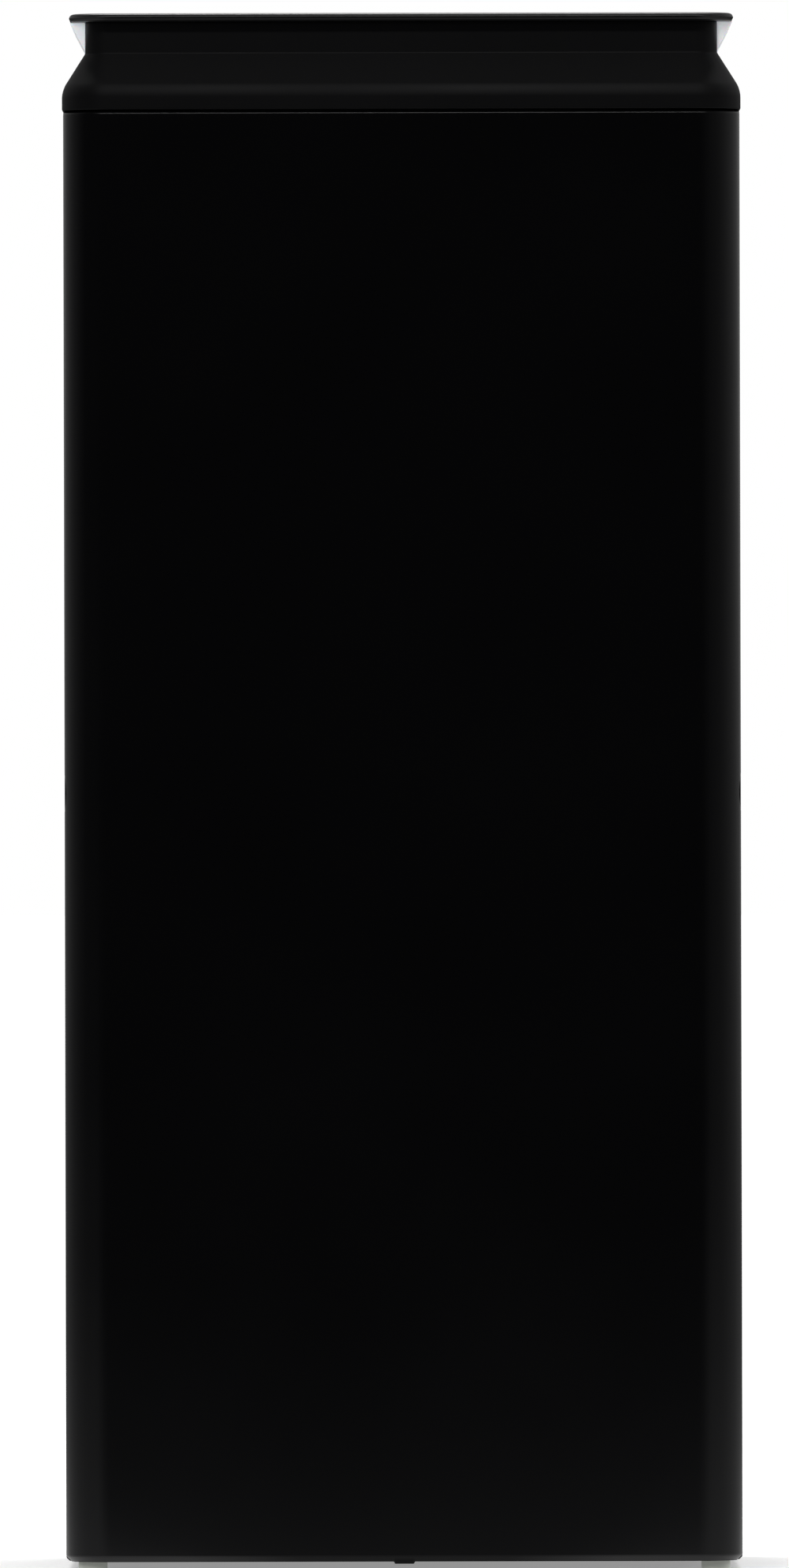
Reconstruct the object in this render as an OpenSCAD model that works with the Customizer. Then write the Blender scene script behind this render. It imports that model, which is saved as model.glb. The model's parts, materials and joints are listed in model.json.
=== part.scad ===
// Tower air purifier with a plain front cover, a waisted top and side intakes.
// Millimetres, +Z up, front towards -Y, origin on the floor under the middle of the body.

/* [Body] */
// Width over the shoulder, the widest line of the purifier
body_w = 305; // [290:1:366]
// Depth over the shoulder
body_d = 260; // [250:1:314]
// Height from the floor to the top face
total_h = 700; // [580:1:842]
// Plan radius of the four upright corners at the shoulder
corner_r = 21; // [17:0.5:26]
// Wall of the outer casings and of the filter bay
wall = 2.5; // [2:0.1:3.1]
// Visible gap between two casings
seam = 0.8; // [0.6:0.1:1.2]
// How far the cover and the rear shell stand back from the shoulder
side_inset = 0.5; // [0.2:0.1:1.5]

/* [Top] */
// Thickness of the top plate
plate_t = 3.7; // [3:0.1:4.6]
// How far the edge of the top plate stands back from the shoulder
plate_inset = 3.25; // [2:0.25:4]
// How far the waist stands back from the shoulder
neck_inset = 10.5; // [8:0.5:12]
// Height of the upright part of the waist
neck_h = 14; // [11:0.5:17]
// Height of the slope between the waist and the shoulder
slope_h = 16.5; // [12:0.5:18]
// Height of the upright band under the slope
band_h = 9; // [8:0.5:13]

/* [Front cover] */
// Thickness of the front cover
cover_t = 2.8; // [2.4:0.1:3.4]
// How far the cover wraps round the sides
cover_wrap = 24; // [22:0.5:29]
// Radius of the holding magnets
magnet_r = 5; // [4:0.5:6]

/* [Filters] */
// Thickness of the washable screen
screen_t = 5; // [4:0.5:6]
// Thickness of the particle filter
hepa_t = 42; // [34:1:50]
// Thickness of the odour filter
carbon_t = 12; // [10:1:15]
// Distance between two pleats of the particle filter
pleat_pitch = 8; // [6.5:0.5:10]
// Room between a filter and the bay on every side
filter_fit = 2; // [1.5:0.5:2.5]

/* [Fan] */
// Radius of the impeller
fan_r = 90; // [75:1:94]
// Length of the impeller along its axis
fan_len = 75; // [62:1:82]
// Number of blades
blade_count = 38; // [24:1:48]
// Radius of the motor shaft
shaft_r = 3; // [2.5:0.25:3.75]
// Gap between the impeller and the scroll at its tongue
tongue_gap = 8; // [6:0.5:10]

/* [Feet and controls] */
// Radius of a foot
foot_r = 6.5; // [5.5:0.25:7.75]
// Height of a foot under the base
foot_h = 5; // [4:0.5:6]
// Radius of a push key
key_r = 8.2; // [6.8:0.2:9.8]
// How far a key travels
key_travel = 1; // [0.8:0.1:1.2]

/* [Hidden] */
$fn = 96;

fit = 0.3;                      // gap between pieces that are pushed together
base_z = foot_h;
plate_z = total_h - plate_t;
neck_z = plate_z - neck_h;
slope_z = neck_z - slope_h;
seam_z = slope_z - band_h;      // underside of the top cap
case_top = seam_z - seam;       // upper edge of the cover and of the rear shell

case_w = body_w - 2 * side_inset;
case_d = body_d - 2 * side_inset;
case_r = corner_r - side_inset;
case_front_y = -case_d / 2;
inner_x = case_w / 2 - wall;    // inside face of the rear shell's sides
inner_y = case_d / 2 - wall;
neck_w = body_w - 2 * neck_inset;
neck_d = body_d - 2 * neck_inset;
neck_r = corner_r - neck_inset;
plate_w = body_w - 2 * plate_inset;
plate_d = body_d - 2 * plate_inset;
plate_r = corner_r - plate_inset;

base_rim_z = base_z + 12;       // upper edge of the base's visible band
edge_chamfer = 1.5;
shell_front_y = case_front_y + cover_wrap + seam;

// The base tray, which the cover wraps in front and the rear shell stands on behind.
cover_back = cover_t + 0.7;     // how far the tray's front stands back for the cover
tray_inset = cover_back + wall;
tray_in_x = case_w / 2 - tray_inset;
tray_in_y = case_d / 2 - tray_inset;
tongue_h = 8;
floor_t = 3.5;

// The filter bay and what stands in it, from the front to the back.
flange_y = shell_front_y + 0.4;
bay_w = 2 * (inner_x - 24 - wall);
bay_z0 = base_z + 55;
bay_z1 = seam_z - 71;
screen_y = flange_y + 1;
hepa_y = screen_y + screen_t + 1;
carbon_y = hepa_y + hepa_t + 1;
bay_back_y = carbon_y + carbon_t + 2;
filter_w = bay_w - 2 * filter_fit;
filter_z0 = bay_z0 + filter_fit;
filter_h = bay_z1 - bay_z0 - 2 * filter_fit;
screen_rim = 8;
hepa_rim = 10;
carbon_rim = 8;
media_t = 0.8;
flange_x = tray_in_x - fit;

// Magnets, strikers and locating pins of the cover.
post_x = (bay_w / 2 + wall + flange_x) / 2;
magnet_z = [bay_z0 - 22, bay_z1 + 34];
pin_z = [bay_z0 + 6, bay_z1 + 4];
cover_pin_r = 3;
magnet_t = 3;
notch_r = 9;                    // finger notch in each side edge of the cover
notch_z = total_h / 2;
pocket_depth = 8;               // the notch is a pocket, closed on its inner side
pocket_wall = 1.6;
foot_inset = 2.4;               // slope along the cover's lower edge
tab_w = 9;                      // release tab under the middle of the cover
striker_r = 7;
striker_t = 1.2;

// The scroll and the fan behind the bay.
scroll_wall = 2.2;
scroll_y0 = bay_back_y + wall + 2;
fan_y0 = scroll_y0 + scroll_wall + 8;
fan_y1 = fan_y0 + fan_len;
scroll_y1 = fan_y1 + 8 + scroll_wall;
tongue_a = 62;
volute_growth = 40;
fan_x = -20;
fan_z = bay_z1 - fan_r - 68;
scroll_top = fan_z + fan_r + 42;
inlet_r = fan_r - 20;           // throat of the fan's inlet
outlet_x0 = fan_x + (fan_r + tongue_gap) * cos(tongue_a);
outlet_x1 = fan_x + fan_r + tongue_gap + volute_growth;
guard_r = inlet_r + 6;
scroll_mid = (scroll_y0 + scroll_y1) / 2;
lug_angles = [90, 150, 210, 270, 330];
scroll_ears = [spiral(110, 6), spiral(230, 6), spiral(310, 6), [outlet_x0 - 8, scroll_top - 12]];
fan_screw_r = 2;

// The motor, which stands in the impeller's hub.
motor_r = 33;
can_t = 2;
can_y0 = fan_y1 - 34;
can_y1 = fan_y1 - 2;
flange_t = 2.5;
motor_flange_r = 50;
motor_hole_r = 44;
ear_ring_r = 58;
ear_turns = [90, 210, 330];
grommet_r = 4.5;
grommet_lip = 1;
bearing_r = 9.5;                // a ball bearing of 19 mm across and 6 mm wide
bearing_w = 6;
tube_r = 12;
tube_y0 = can_y0 + can_t + 2;
stator_r = motor_r - can_t - 4.8;
stator_y0 = tube_y0 + 4;
stator_y1 = can_y1 - 6;
pole_count = 12;
flange_y1 = scroll_y1 + grommet_lip + flange_t;
hub_r = motor_r + 4.5;
hub_y0 = can_y0 - 3;
blade_r0 = fan_r - 16;
blade_lean = 9;

// Openings of the top plate, and the controls in its front strip.
deck_t = 2.5;
grille_x = neck_w / 2 - 24;
grille_y0 = -38;
grille_y1 = neck_d / 2 - 16;
grille_r = 8;
grille_mid = (grille_y0 + grille_y1) / 2;
grille_d = grille_y1 - grille_y0;
grille_ledge = 3;
collar_z = plate_z - 12;
strip_y = -plate_d / 2 + 34;
key_x = [-92, -56, 56, 92];
lens_w = 64;
lens_d = 18;
board_z = plate_z - 14;
board_t = 1.6;
switch_top = board_z + board_t + 5;
peg_y = [-80, -40, 0, 40, 80];
peg_z0 = plate_z - 7.5;
peg_h = 3;
led_t = 1;
board_pegs = [for (x = [-106, 106], y = [strip_y - 9, strip_y + 9]) [x, y]];

// Power board, on the back of the bay.
board_w = 140;
board_h = 100;
board_z0 = bay_z0 + 8;
board_y = bay_back_y + wall + 8;

// Side intakes, in the rear shell.
intake_y0 = shell_front_y + 9;
intake_w = 46;
intake_z0 = bay_z0 + 30;
intake_z1 = bay_z1 - 46;
slot_pitch = 8;
slot_h = 4.4;
intake_rim = 3;
airways = 4;
airway_pitch = (intake_z1 - intake_z0 + 8) / airways;

// Light guides under the two ends of the top plate.
guide_len = neck_d - 2 * neck_r;
guide_w = neck_inset - plate_inset - 0.4;
guide_h = neck_h - 1;

// Dust sensor hatch in the right side.
hatch_y = 62;
hatch_z = bay_z1 - 34;
hatch_w = 44;
hatch_h = 34;
hatch_pin_r = 0.8;
hatch_pin_l = 2;
hatch_axis_x = case_w / 2 - wall / 2;
hatch_axis_z = hatch_z + hatch_h / 2 - wall / 2;

inlet_x = -88;                  // power inlet, and the cord clip under it
inlet_z = base_z + 42;
inlet_w = 24;
inlet_h = 16;
socket_w = 18;
socket_h = 10;
pin_gap = 8.6;                  // the two pins of a figure-eight inlet
pin_r = 1.2;
clip_w = 4.3;
clip_h = 2.4;
clip_y1 = body_d / 2 - 18;
clip_y0 = clip_y1 - 16;
foot_x = body_w / 2 - 12.5;
foot_y = body_d / 2 - 24;
foot_sink = 1.5;
foot_peg_r = 2.2;

// Screws of the casing.
screw_r = 1.5;
screw_head_r = 3;
screw_sink = 1.6;
head_room = 2.2;
rear_screw_x = [-118, 118];
tray_screw_z = base_rim_z + 16;
cap_screw_z = seam_z - 16;
screw_post_y = inner_y - head_room - fit;
base_screw_at = [
    for (x = [-100, 100]) each [[x, flange_y + wall + 6.5, base_z + 31], [x, bay_back_y - 8, bay_z0]]
];

// Carrying grip in the back.
grip_w = 110;
grip_y = case_d / 2 - 24;
grip_z0 = seam_z - 61;
grip_z1 = seam_z - 25;

// Colours.
casing = [0.05, 0.05, 0.055];
inner_grey = [0.2, 0.21, 0.22];
foot_grey = [0.66, 0.68, 0.64];
steel = [0.6, 0.61, 0.62];
brass = [0.7, 0.58, 0.3];

// ---------------------------------------------------------------- shapes used again

// A rounded rectangle, middle on the origin.
module plan(w, d, r) {
    square([w - 2 * r, d], center = true);
    square([w, d - 2 * r], center = true);
    for (x = [-1, 1], y = [-1, 1])
        translate([x * (w / 2 - r), y * (d / 2 - r)]) circle(r);
}

// An upright prism on a rounded rectangle, from z0 to z1.
module prism(w, d, r, z0, z1) {
    translate([0, 0, z0]) linear_extrude(z1 - z0) plan(w, d, r);
}

// The same prism, drawn in by inset on every side over the height h. A negative h hangs down.
module taper(w, d, r, inset, z, h) {
    cx = w / 2 - r;
    cy = d / 2 - r;
    translate([0, 0, z]) mirror([0, 0, h < 0 ? 1 : 0]) {
        for (sx = [-1, 1], sy = [-1, 1])
            translate([sx * cx, sy * cy, 0]) cylinder(h = abs(h), r1 = r, r2 = r - inset);
        rotate([90, 0, 0]) linear_extrude(2 * cy, center = true)
            polygon([[-w / 2, 0], [w / 2, 0], [w / 2 - inset, abs(h)], [inset - w / 2, abs(h)]]);
        rotate([90, 0, 90]) linear_extrude(2 * cx, center = true)
            polygon([[-d / 2, 0], [d / 2, 0], [d / 2 - inset, abs(h)], [inset - d / 2, abs(h)]]);
    }
}

// A box given by its lowest and highest corners.
module block(low, high) {
    translate(low) cube(high - low);
}

// Everything behind the plane y, as a cutter.
module behind(y) {
    block([-body_w, y, -10], [body_w, body_d, total_h + 10]);
}

// Everything in front of the plane y, as a cutter.
module before(y) {
    block([-body_w, -body_d, -10], [body_w, y, total_h + 10]);
}

// A cylinder along Y, from y0 to y1.
module rod_y(r, y0, y1) {
    translate([0, y0, 0]) rotate([-90, 0, 0]) cylinder(h = y1 - y0, r = r);
}

// A profile of (radius, y) points turned about the fan's axis.
module turned() {
    translate([fan_x, 0, fan_z]) rotate([-90, 0, 0]) rotate_extrude() children();
}

// A ring about the fan's axis.
module fan_ring(r_out, r_in, y0, y1) {
    turned() translate([r_in, y0]) square([r_out - r_in, y1 - y0]);
}

// A pan-head screw along +Z, head down, with the underside of the head at the origin.
module screw(r, head_r, head_h, length) {
    difference() {
        union() {
            translate([0, 0, -head_h]) cylinder(h = head_h, r = head_r);
            cylinder(h = length, r = r);
        }
        for (turn = [0, 90])
            rotate(turn) translate([0, 0, -head_h]) cube([head_r * 1.2, 0.8, head_h * 1.2], center = true);
    }
}

// A flat outline in (x, z), as seen from the front, made solid from y0 to y1.
module slab_y(y0, y1) {
    translate([0, y1, 0]) rotate([90, 0, 0]) linear_extrude(y1 - y0) children();
}

// A flat outline in (y, z) made solid from x0 to x1.
module slab_x(x0, x1) {
    translate([x0, 0, 0]) rotate([90, 0, 90]) linear_extrude(x1 - x0) children();
}

// The same thing on the left and on the right.
module both_sides() {
    children();
    mirror([1, 0, 0]) children();
}

// A picture frame of the given outer size, standing upright, from y0 to y1.
module upright_frame(w, z0, h, rim, y0, y1) {
    difference() {
        block([-w / 2, y0, z0], [w / 2, y1, z0 + h]);
        block([rim - w / 2, y0 - 1, z0 + rim], [w / 2 - rim, y1 + 1, z0 + h - rim]);
    }
}

// The cross bars of a filter frame, from y0 to y1.
module cross_bars(w, z0, h, rim, bar, y0, y1) {
    block([-bar / 2, y0, z0 + rim / 2], [bar / 2, y1, z0 + h - rim / 2]);
    for (i = [1 : 3])
        block([rim / 2 - w / 2, y0, z0 + h * i / 4 - bar / 2],
            [w / 2 - rim / 2, y1, z0 + h * i / 4 + bar / 2]);
}

// ---------------------------------------------------------------- base

// The outline of the base, drawn in by inset, up to z1.
module base_form(inset, z1) {
    w = case_w - 2 * inset;
    d = case_d - 2 * inset;
    r = case_r - inset;
    prism(w, d, r, base_z + edge_chamfer, z1);
    taper(w, d, r, edge_chamfer, base_z + edge_chamfer, -edge_chamfer);
}

module base_tray() {
    color(casing) difference() {
        union() {
            difference() {
                tray_walls();
                prism(2 * tray_in_x, 2 * tray_in_y, case_r - tray_inset, base_z + floor_t, total_h);
            }
            for (x = rear_screw_x) tray_post(x);
        }
        for (x = [-foot_x, foot_x], y = [-foot_y, foot_y]) translate([x, y, 0]) {
            cylinder(h = base_z + foot_sink, r = foot_r + 0.2);
            cylinder(h = base_z + floor_t - 0.4, r = foot_peg_r + 0.1);
        }
        for (p = base_screw_at) translate([p[0], p[1], 0]) {
            cylinder(h = base_z + floor_t + 1, r = screw_r + 0.3);
            cylinder(h = base_z + screw_sink, r = screw_head_r + 0.4);
        }
        for (x = rear_screw_x) translate([x, 0, tray_screw_z]) rod_y(screw_r + 0.1, inner_y - 16, inner_y);
        block([inlet_x - clip_w / 2 - 0.2, clip_y1 - 4.2, 0],
            [inlet_x + clip_w / 2 + 0.2, clip_y1 + 0.2, 2 * base_z]);
    }
}

// The band that shows, the front that the cover hides, and the tongue inside the rear shell.
module tray_walls() {
    base_form(cover_back, base_rim_z);
    intersection() {
        base_form(0, base_rim_z);
        behind(shell_front_y);
    }
    intersection() {
        base_form(wall + fit, base_rim_z + tongue_h);
        behind(flange_y + wall + 1);
    }
}

// A post that rises from the tray and takes a rear screw.
module tray_post(x) {
    block([x - 7, screw_post_y - 12, base_z], [x + 7, screw_post_y, tray_screw_z + 8]);
}

module feet() {
    color(foot_grey) for (x = [-foot_x, foot_x], y = [-foot_y, foot_y]) translate([x, y, 0]) {
        cylinder(h = 1, r1 = foot_r - 0.8, r2 = foot_r);
        translate([0, 0, 1]) cylinder(h = base_z + foot_sink - 1, r = foot_r);
        cylinder(h = base_z + floor_t - 0.6, r = foot_peg_r);
    }
}

module base_screws() {
    color(steel) for (p = base_screw_at)
        translate([p[0], p[1], base_z + screw_sink]) screw(screw_r, screw_head_r, 2, 11);
}

// A low hook under the base that leads the power cord.
module cord_clip() {
    color(casing) {
        block([inlet_x - clip_w / 2, clip_y0, base_z - clip_h],
            [inlet_x + clip_w / 2, clip_y1, base_z - clip_h + 1.1]);
        block([inlet_x - clip_w / 2, clip_y1 - 4, base_z - clip_h],
            [inlet_x + clip_w / 2, clip_y1, base_z + floor_t]);
    }
}

// ---------------------------------------------------------------- rear shell

module rear_shell() {
    color(casing) difference() {
        union() {
            difference() {
                intersection() {
                    prism(case_w, case_d, case_r, base_rim_z + seam, case_top);
                    behind(shell_front_y);
                }
                prism(2 * inner_x, 2 * inner_y, case_r - wall, 0, total_h);
            }
            for (x = rear_screw_x, z = [tray_screw_z, cap_screw_z])
                translate([x, 0, z]) rod_y(6, inner_y - head_room, inner_y + 0.5);
            block([-grip_w / 2 - wall, grip_y - wall, grip_z0 - wall],
                [grip_w / 2 + wall, inner_y + 0.5, grip_z1 + wall]);
        }
        block([-grip_w / 2, grip_y, grip_z0], [grip_w / 2, body_d, grip_z1]);
        for (x = rear_screw_x, z = [tray_screw_z, cap_screw_z]) translate([x, 0, z]) {
            rod_y(screw_r + 0.3, inner_y - 2 * head_room, body_d);
            rod_y(screw_head_r + 0.4, case_d / 2 - head_room, body_d);
        }
        both_sides()
            block([0.9 * inner_x, intake_y0 - fit, intake_z0 - fit],
                [body_w, intake_y0 + intake_w + fit, intake_z1 + fit]);
        block([0.9 * inner_x, hatch_y - hatch_w / 2 - fit, hatch_z - hatch_h / 2 - fit],
              [body_w, hatch_y + hatch_w / 2 + fit, hatch_z + hatch_h / 2 + fit]);
        translate([hatch_axis_x, hatch_y, hatch_axis_z])
            rod_y(hatch_pin_r + 0.06, -hatch_w / 2 - hatch_pin_l - 0.5, hatch_w / 2 + hatch_pin_l + 0.5);
        translate([inlet_x, 0, inlet_z]) slab_y(inner_y - 1, body_d)
            plan(inlet_w + 2 * fit, inlet_h + 2 * fit, inlet_h / 2);
    }
}

module rear_screws() {
    color(steel) for (x = rear_screw_x, z = [tray_screw_z, cap_screw_z])
        translate([x, case_d / 2 - head_room, z]) rotate([90, 0, 0]) screw(screw_r, screw_head_r, 2, 14);
}

// The right-hand intake grille; the left one is its mirror image.
module intake_grille() {
    y1 = intake_y0 + intake_w;
    slots = floor((intake_z1 - intake_z0 - 2 * intake_rim) / slot_pitch);
    first = (intake_z0 + intake_z1 - (slots - 1) * slot_pitch) / 2;
    slot_w = (intake_w - 3 * intake_rim) / 2;
    difference() {
        union() {
            block([inner_x - 0.5, intake_y0, intake_z0], [case_w / 2, y1, intake_z1]);
            block([inner_x - 1.5, intake_y0 - 3, intake_z0 - 3], [inner_x, y1 + 3, intake_z1 + 3]);
        }
        for (i = [0 : slots - 1], y = [intake_y0 + intake_rim, y1 - intake_rim - slot_w])
            block([inner_x - 5, y, first + i * slot_pitch - slot_h / 2],
                  [body_w, y + slot_w, first + i * slot_pitch + slot_h / 2]);
    }
}

module right_intake_grille() {
    color(casing) intake_grille();
}

module left_intake_grille() {
    color(casing) mirror([1, 0, 0]) intake_grille();
}

module sensor_hatch() {
    z0 = hatch_z - hatch_h / 2;
    color(casing) translate([hatch_axis_x, hatch_y, 0]) {
        difference() {
            block([-wall / 2, -hatch_w / 2, z0], [wall / 2, hatch_w / 2, hatch_axis_z]);
            block([-wall, -6, z0 - 1], [wall, 6, z0 + 2]);
        }
        translate([0, 0, hatch_axis_z]) {
            rod_y(wall / 2, -hatch_w / 2, hatch_w / 2);
            rod_y(hatch_pin_r, -hatch_w / 2 - hatch_pin_l, hatch_w / 2 + hatch_pin_l);
        }
    }
}

module dust_sensor() {
    x1 = inner_x - 5;
    color([0.1, 0.12, 0.1]) difference() {
        union() {
            block([x1 - 16, hatch_y - 19, hatch_z - 14], [x1, hatch_y + 19, hatch_z + 14]);
            translate([0, hatch_y + 9, hatch_z]) rotate([0, 90, 0]) translate([0, 0, x1 - 1])
                cylinder(h = 3, r = 6);
        }
        translate([0, hatch_y + 9, hatch_z]) rotate([0, 90, 0]) translate([0, 0, x1 - 6])
            cylinder(h = 20, r = 4);
        block([x1 - 4, hatch_y - 14, hatch_z - 8], [x1 + 1, hatch_y - 4, hatch_z + 8]);
    }
}

module rating_plate() {
    color([0.75, 0.75, 0.76]) translate([0, 0, base_z + 95])
        block([20, case_d / 2, 0], [96, case_d / 2 + 0.3, 46]);
}

module power_inlet() {
    color([0.03, 0.03, 0.03]) translate([inlet_x, 0, inlet_z]) difference() {
        union() {
            slab_y(inner_y - 18, case_d / 2 - 0.2) plan(inlet_w, inlet_h, inlet_h / 2 - 0.01);
            slab_y(inner_y - 2, inner_y) plan(inlet_w + 10, inlet_h + 6, 4);
        }
        slab_y(inner_y - 10, body_d) plan(socket_w, socket_h, socket_h / 2 - 0.01);
        for (x = [-1, 1]) translate([x * pin_gap / 2, 0, 0]) rod_y(pin_r + 0.05, inner_y - 30, body_d);
    }
}

module inlet_pins() {
    color(brass) for (x = [-1, 1])
        translate([inlet_x + x * pin_gap / 2, 0, inlet_z]) rod_y(pin_r, inner_y - 24, inner_y - 1);
}

// ---------------------------------------------------------------- filter bay and filters

module filter_bay() {
    back = bay_back_y + wall;
    color(inner_grey) difference() {
        union() {
            block([-flange_x, flange_y, base_z + floor_t], [flange_x, flange_y + wall, seam_z - 2]);
            block([-bay_w / 2 - wall, flange_y, bay_z0 - wall], [bay_w / 2 + wall, back, bay_z1 + wall]);
            for (p = base_screw_at)
                block([p[0] - 7, p[1] - 7, base_z + floor_t], [p[0] + 7, p[1] + 7, p[2]]);
            for (x = [-1, 1], z = [0, 1]) translate([board_x(x), 0, board_hole_z(z)])
                rod_y(4.5, back - 0.5, back + 2);
        }
        block([-bay_w / 2, flange_y - 1, bay_z0], [bay_w / 2, bay_back_y, bay_z1]);
        translate([fan_x, 0, fan_z]) rod_y(guard_r + 0.2, bay_back_y - 1, back + 1);
        both_sides() for (i = [0 : airways - 1]) {
            z = intake_z0 + i * airway_pitch;
            block([bay_w / 2 + wall + 1, flange_y - 1, z],
                [flange_x - 3, flange_y + wall + 1, z + airway_pitch - 8]);
        }
        both_sides() for (z = magnet_z) translate([post_x, 0, z])
            rod_y(striker_r + 0.1, flange_y - 1, flange_y + striker_t);
        both_sides() for (z = pin_z) translate([post_x, 0, z])
            rod_y(cover_pin_r + fit, flange_y - 1, flange_y + wall + 1);
        for (p = base_screw_at) translate([p[0], p[1], 0])
            cylinder(h = base_z + floor_t + 14, r = screw_r + 0.1);
        for (x = [-1, 1], z = [0, 1]) translate([board_x(x), 0, board_hole_z(z)])
            rod_y(1.6, bay_back_y - 1, back + 3);
        for (p = scroll_ears) translate([p[0], 0, p[1]]) rod_y(fan_screw_r + 0.1, bay_back_y - 1, back + 1);
    }
}

module strikers() {
    color(steel) both_sides() for (z = magnet_z)
        translate([post_x, 0, z]) rod_y(striker_r, flange_y, flange_y + striker_t);
}

module fan_guard() {
    y0 = bay_back_y;
    y1 = bay_back_y + wall;
    color(inner_grey) {
        fan_ring(guard_r, guard_r - 4, y0, y1);
        for (i = [1 : 3]) fan_ring(guard_r * i / 4 + 1, guard_r * i / 4 - 1, y0, y1);
        translate([fan_x, 0, fan_z]) {
            rod_y(7, y0, y1);
            for (turn = [0 : 60 : 300])
                rotate([0, turn, 0]) block([6, y0, -1], [guard_r - 2, y1, 1]);
        }
    }
}

module screen_frame() {
    color(inner_grey) {
        upright_frame(filter_w, filter_z0, filter_h, screen_rim, screen_y, screen_y + screen_t);
        cross_bars(filter_w, filter_z0, filter_h, screen_rim, 5, screen_y, screen_y + screen_t / 2 - 0.4);
    }
}

module screen_mesh() {
    half_w = filter_w / 2 - screen_rim;
    mid = screen_y + screen_t / 2;
    color([0.12, 0.12, 0.12])
        block([-half_w, mid - 0.4, filter_z0 + screen_rim],
            [half_w, mid + 0.4, filter_z0 + filter_h - screen_rim]);
}

module hepa_frame() {
    color([0.85, 0.86, 0.86])
        upright_frame(filter_w, filter_z0, filter_h, hepa_rim, hepa_y, hepa_y + hepa_t);
}

// One sheet folded into even pleats. Each fold is mitred, so the sheet keeps its thickness.
module hepa_media() {
    w = filter_w - 2 * hepa_rim;
    folds = 2 * floor(w / pleat_pitch);
    mitre = media_t / 2 * hepa_t / (w / folds);
    y0 = hepa_y + 2 + mitre;
    y1 = hepa_y + hepa_t - 2 - mitre;
    path = [for (i = [0 : folds]) [w * i / folds - w / 2, i % 2 == 0 ? y0 : y1]];
    front = [for (p = path) p - [0, mitre]];
    back = [for (i = [folds : -1 : 0]) path[i] + [0, mitre]];
    color([0.93, 0.93, 0.9]) translate([0, 0, filter_z0 + hepa_rim])
        linear_extrude(filter_h - 2 * hepa_rim) polygon(concat(front, back));
}

module carbon_frame() {
    color([0.1, 0.1, 0.1]) {
        upright_frame(filter_w, filter_z0, filter_h, carbon_rim, carbon_y, carbon_y + carbon_t);
        cross_bars(filter_w, filter_z0, filter_h, carbon_rim, 4, carbon_y, carbon_y + 1.6);
        cross_bars(filter_w, filter_z0, filter_h, carbon_rim, 4,
            carbon_y + carbon_t - 1.6, carbon_y + carbon_t);
    }
}

module carbon_core() {
    half_w = filter_w / 2 - carbon_rim;
    color([0.04, 0.04, 0.04]) block([-half_w, carbon_y + 1.8, filter_z0 + carbon_rim],
                                    [half_w, carbon_y + carbon_t - 1.8, filter_z0 + filter_h - carbon_rim]);
}

// ---------------------------------------------------------------- fan

// A point of the scroll's spiral at the angle a, outside it by extra.
function spiral(a, extra) =
    let (r = fan_r + tongue_gap + volute_growth * (a - tongue_a) / (360 - tongue_a) + extra)
    [fan_x + r * cos(a), fan_z + r * sin(a)];

// The scroll's outline with its upright outlet, in (x, z).
module volute(extra) {
    start = acos((outlet_x0 - extra - fan_x) / (fan_r + tongue_gap + extra));
    steps = 48;
    polygon(concat(
        [[outlet_x0 - extra, scroll_top]],
        [for (i = [0 : steps]) spiral(start + (360 - start) * i / steps, extra)],
        [[outlet_x1 + extra, scroll_top]]
    ));
}

// Lugs round the scroll, where its two halves are screwed together.
module scroll_lugs(y0, y1) {
    slab_y(y0, y1) difference() {
        for (a = lug_angles) {
            translate(spiral(a, scroll_wall + 4)) circle(5);
            translate(spiral(a, scroll_wall)) rotate(a) square([8, 10], center = true);
        }
        volute(scroll_wall / 2);
    }
}

module scroll_front() {
    color(inner_grey) difference() {
        union() {
            slab_y(scroll_y0, scroll_mid - 0.05) difference() {
                volute(scroll_wall);
                volute(0);
            }
            slab_y(scroll_y0, scroll_y0 + scroll_wall) {
                volute(scroll_wall);
                for (p = scroll_ears) translate(p) circle(7);
            }
            fan_ring(inlet_r + scroll_wall, inlet_r, bay_back_y + wall, scroll_y0 + 6);
            scroll_lugs(scroll_mid - 4, scroll_mid - 0.05);
        }
        translate([fan_x, 0, fan_z]) rod_y(inlet_r, bay_back_y, scroll_y0 + 10);
        for (a = lug_angles) lug_hole(a, scroll_mid - 10, scroll_mid + 1, fan_screw_r + 0.1);
        for (p = scroll_ears) translate([p[0], 0, p[1]])
            rod_y(fan_screw_r + 0.3, scroll_y0 - 1, scroll_y0 + 10);
    }
}

module lug_hole(a, y0, y1, r) {
    p = spiral(a, scroll_wall + 4);
    translate([p[0], 0, p[1]]) rod_y(r, y0, y1);
}

module scroll_rear() {
    color(inner_grey) difference() {
        union() {
            slab_y(scroll_mid + 0.05, scroll_y1) difference() {
                volute(scroll_wall);
                volute(0);
            }
            slab_y(scroll_y1 - scroll_wall, scroll_y1) volute(scroll_wall);
            scroll_lugs(scroll_mid + 0.05, scroll_mid + 4);
            for (turn = ear_turns) on_ear(turn) rod_y(6, scroll_y1 - scroll_wall - 4, scroll_y1);
        }
        translate([fan_x, 0, fan_z]) rod_y(motor_hole_r, scroll_y1 - 10, scroll_y1 + 1);
        for (a = lug_angles) lug_hole(a, scroll_mid - 1, scroll_mid + 10, fan_screw_r + 0.3);
        for (turn = ear_turns) on_ear(turn) rod_y(fan_screw_r + 0.1, scroll_y1 - 8, scroll_y1 + 1);
    }
}

// Its children at one of the motor's three ears.
module on_ear(turn) {
    translate([fan_x + ear_ring_r * cos(turn), 0, fan_z + ear_ring_r * sin(turn)]) children();
}

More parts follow.
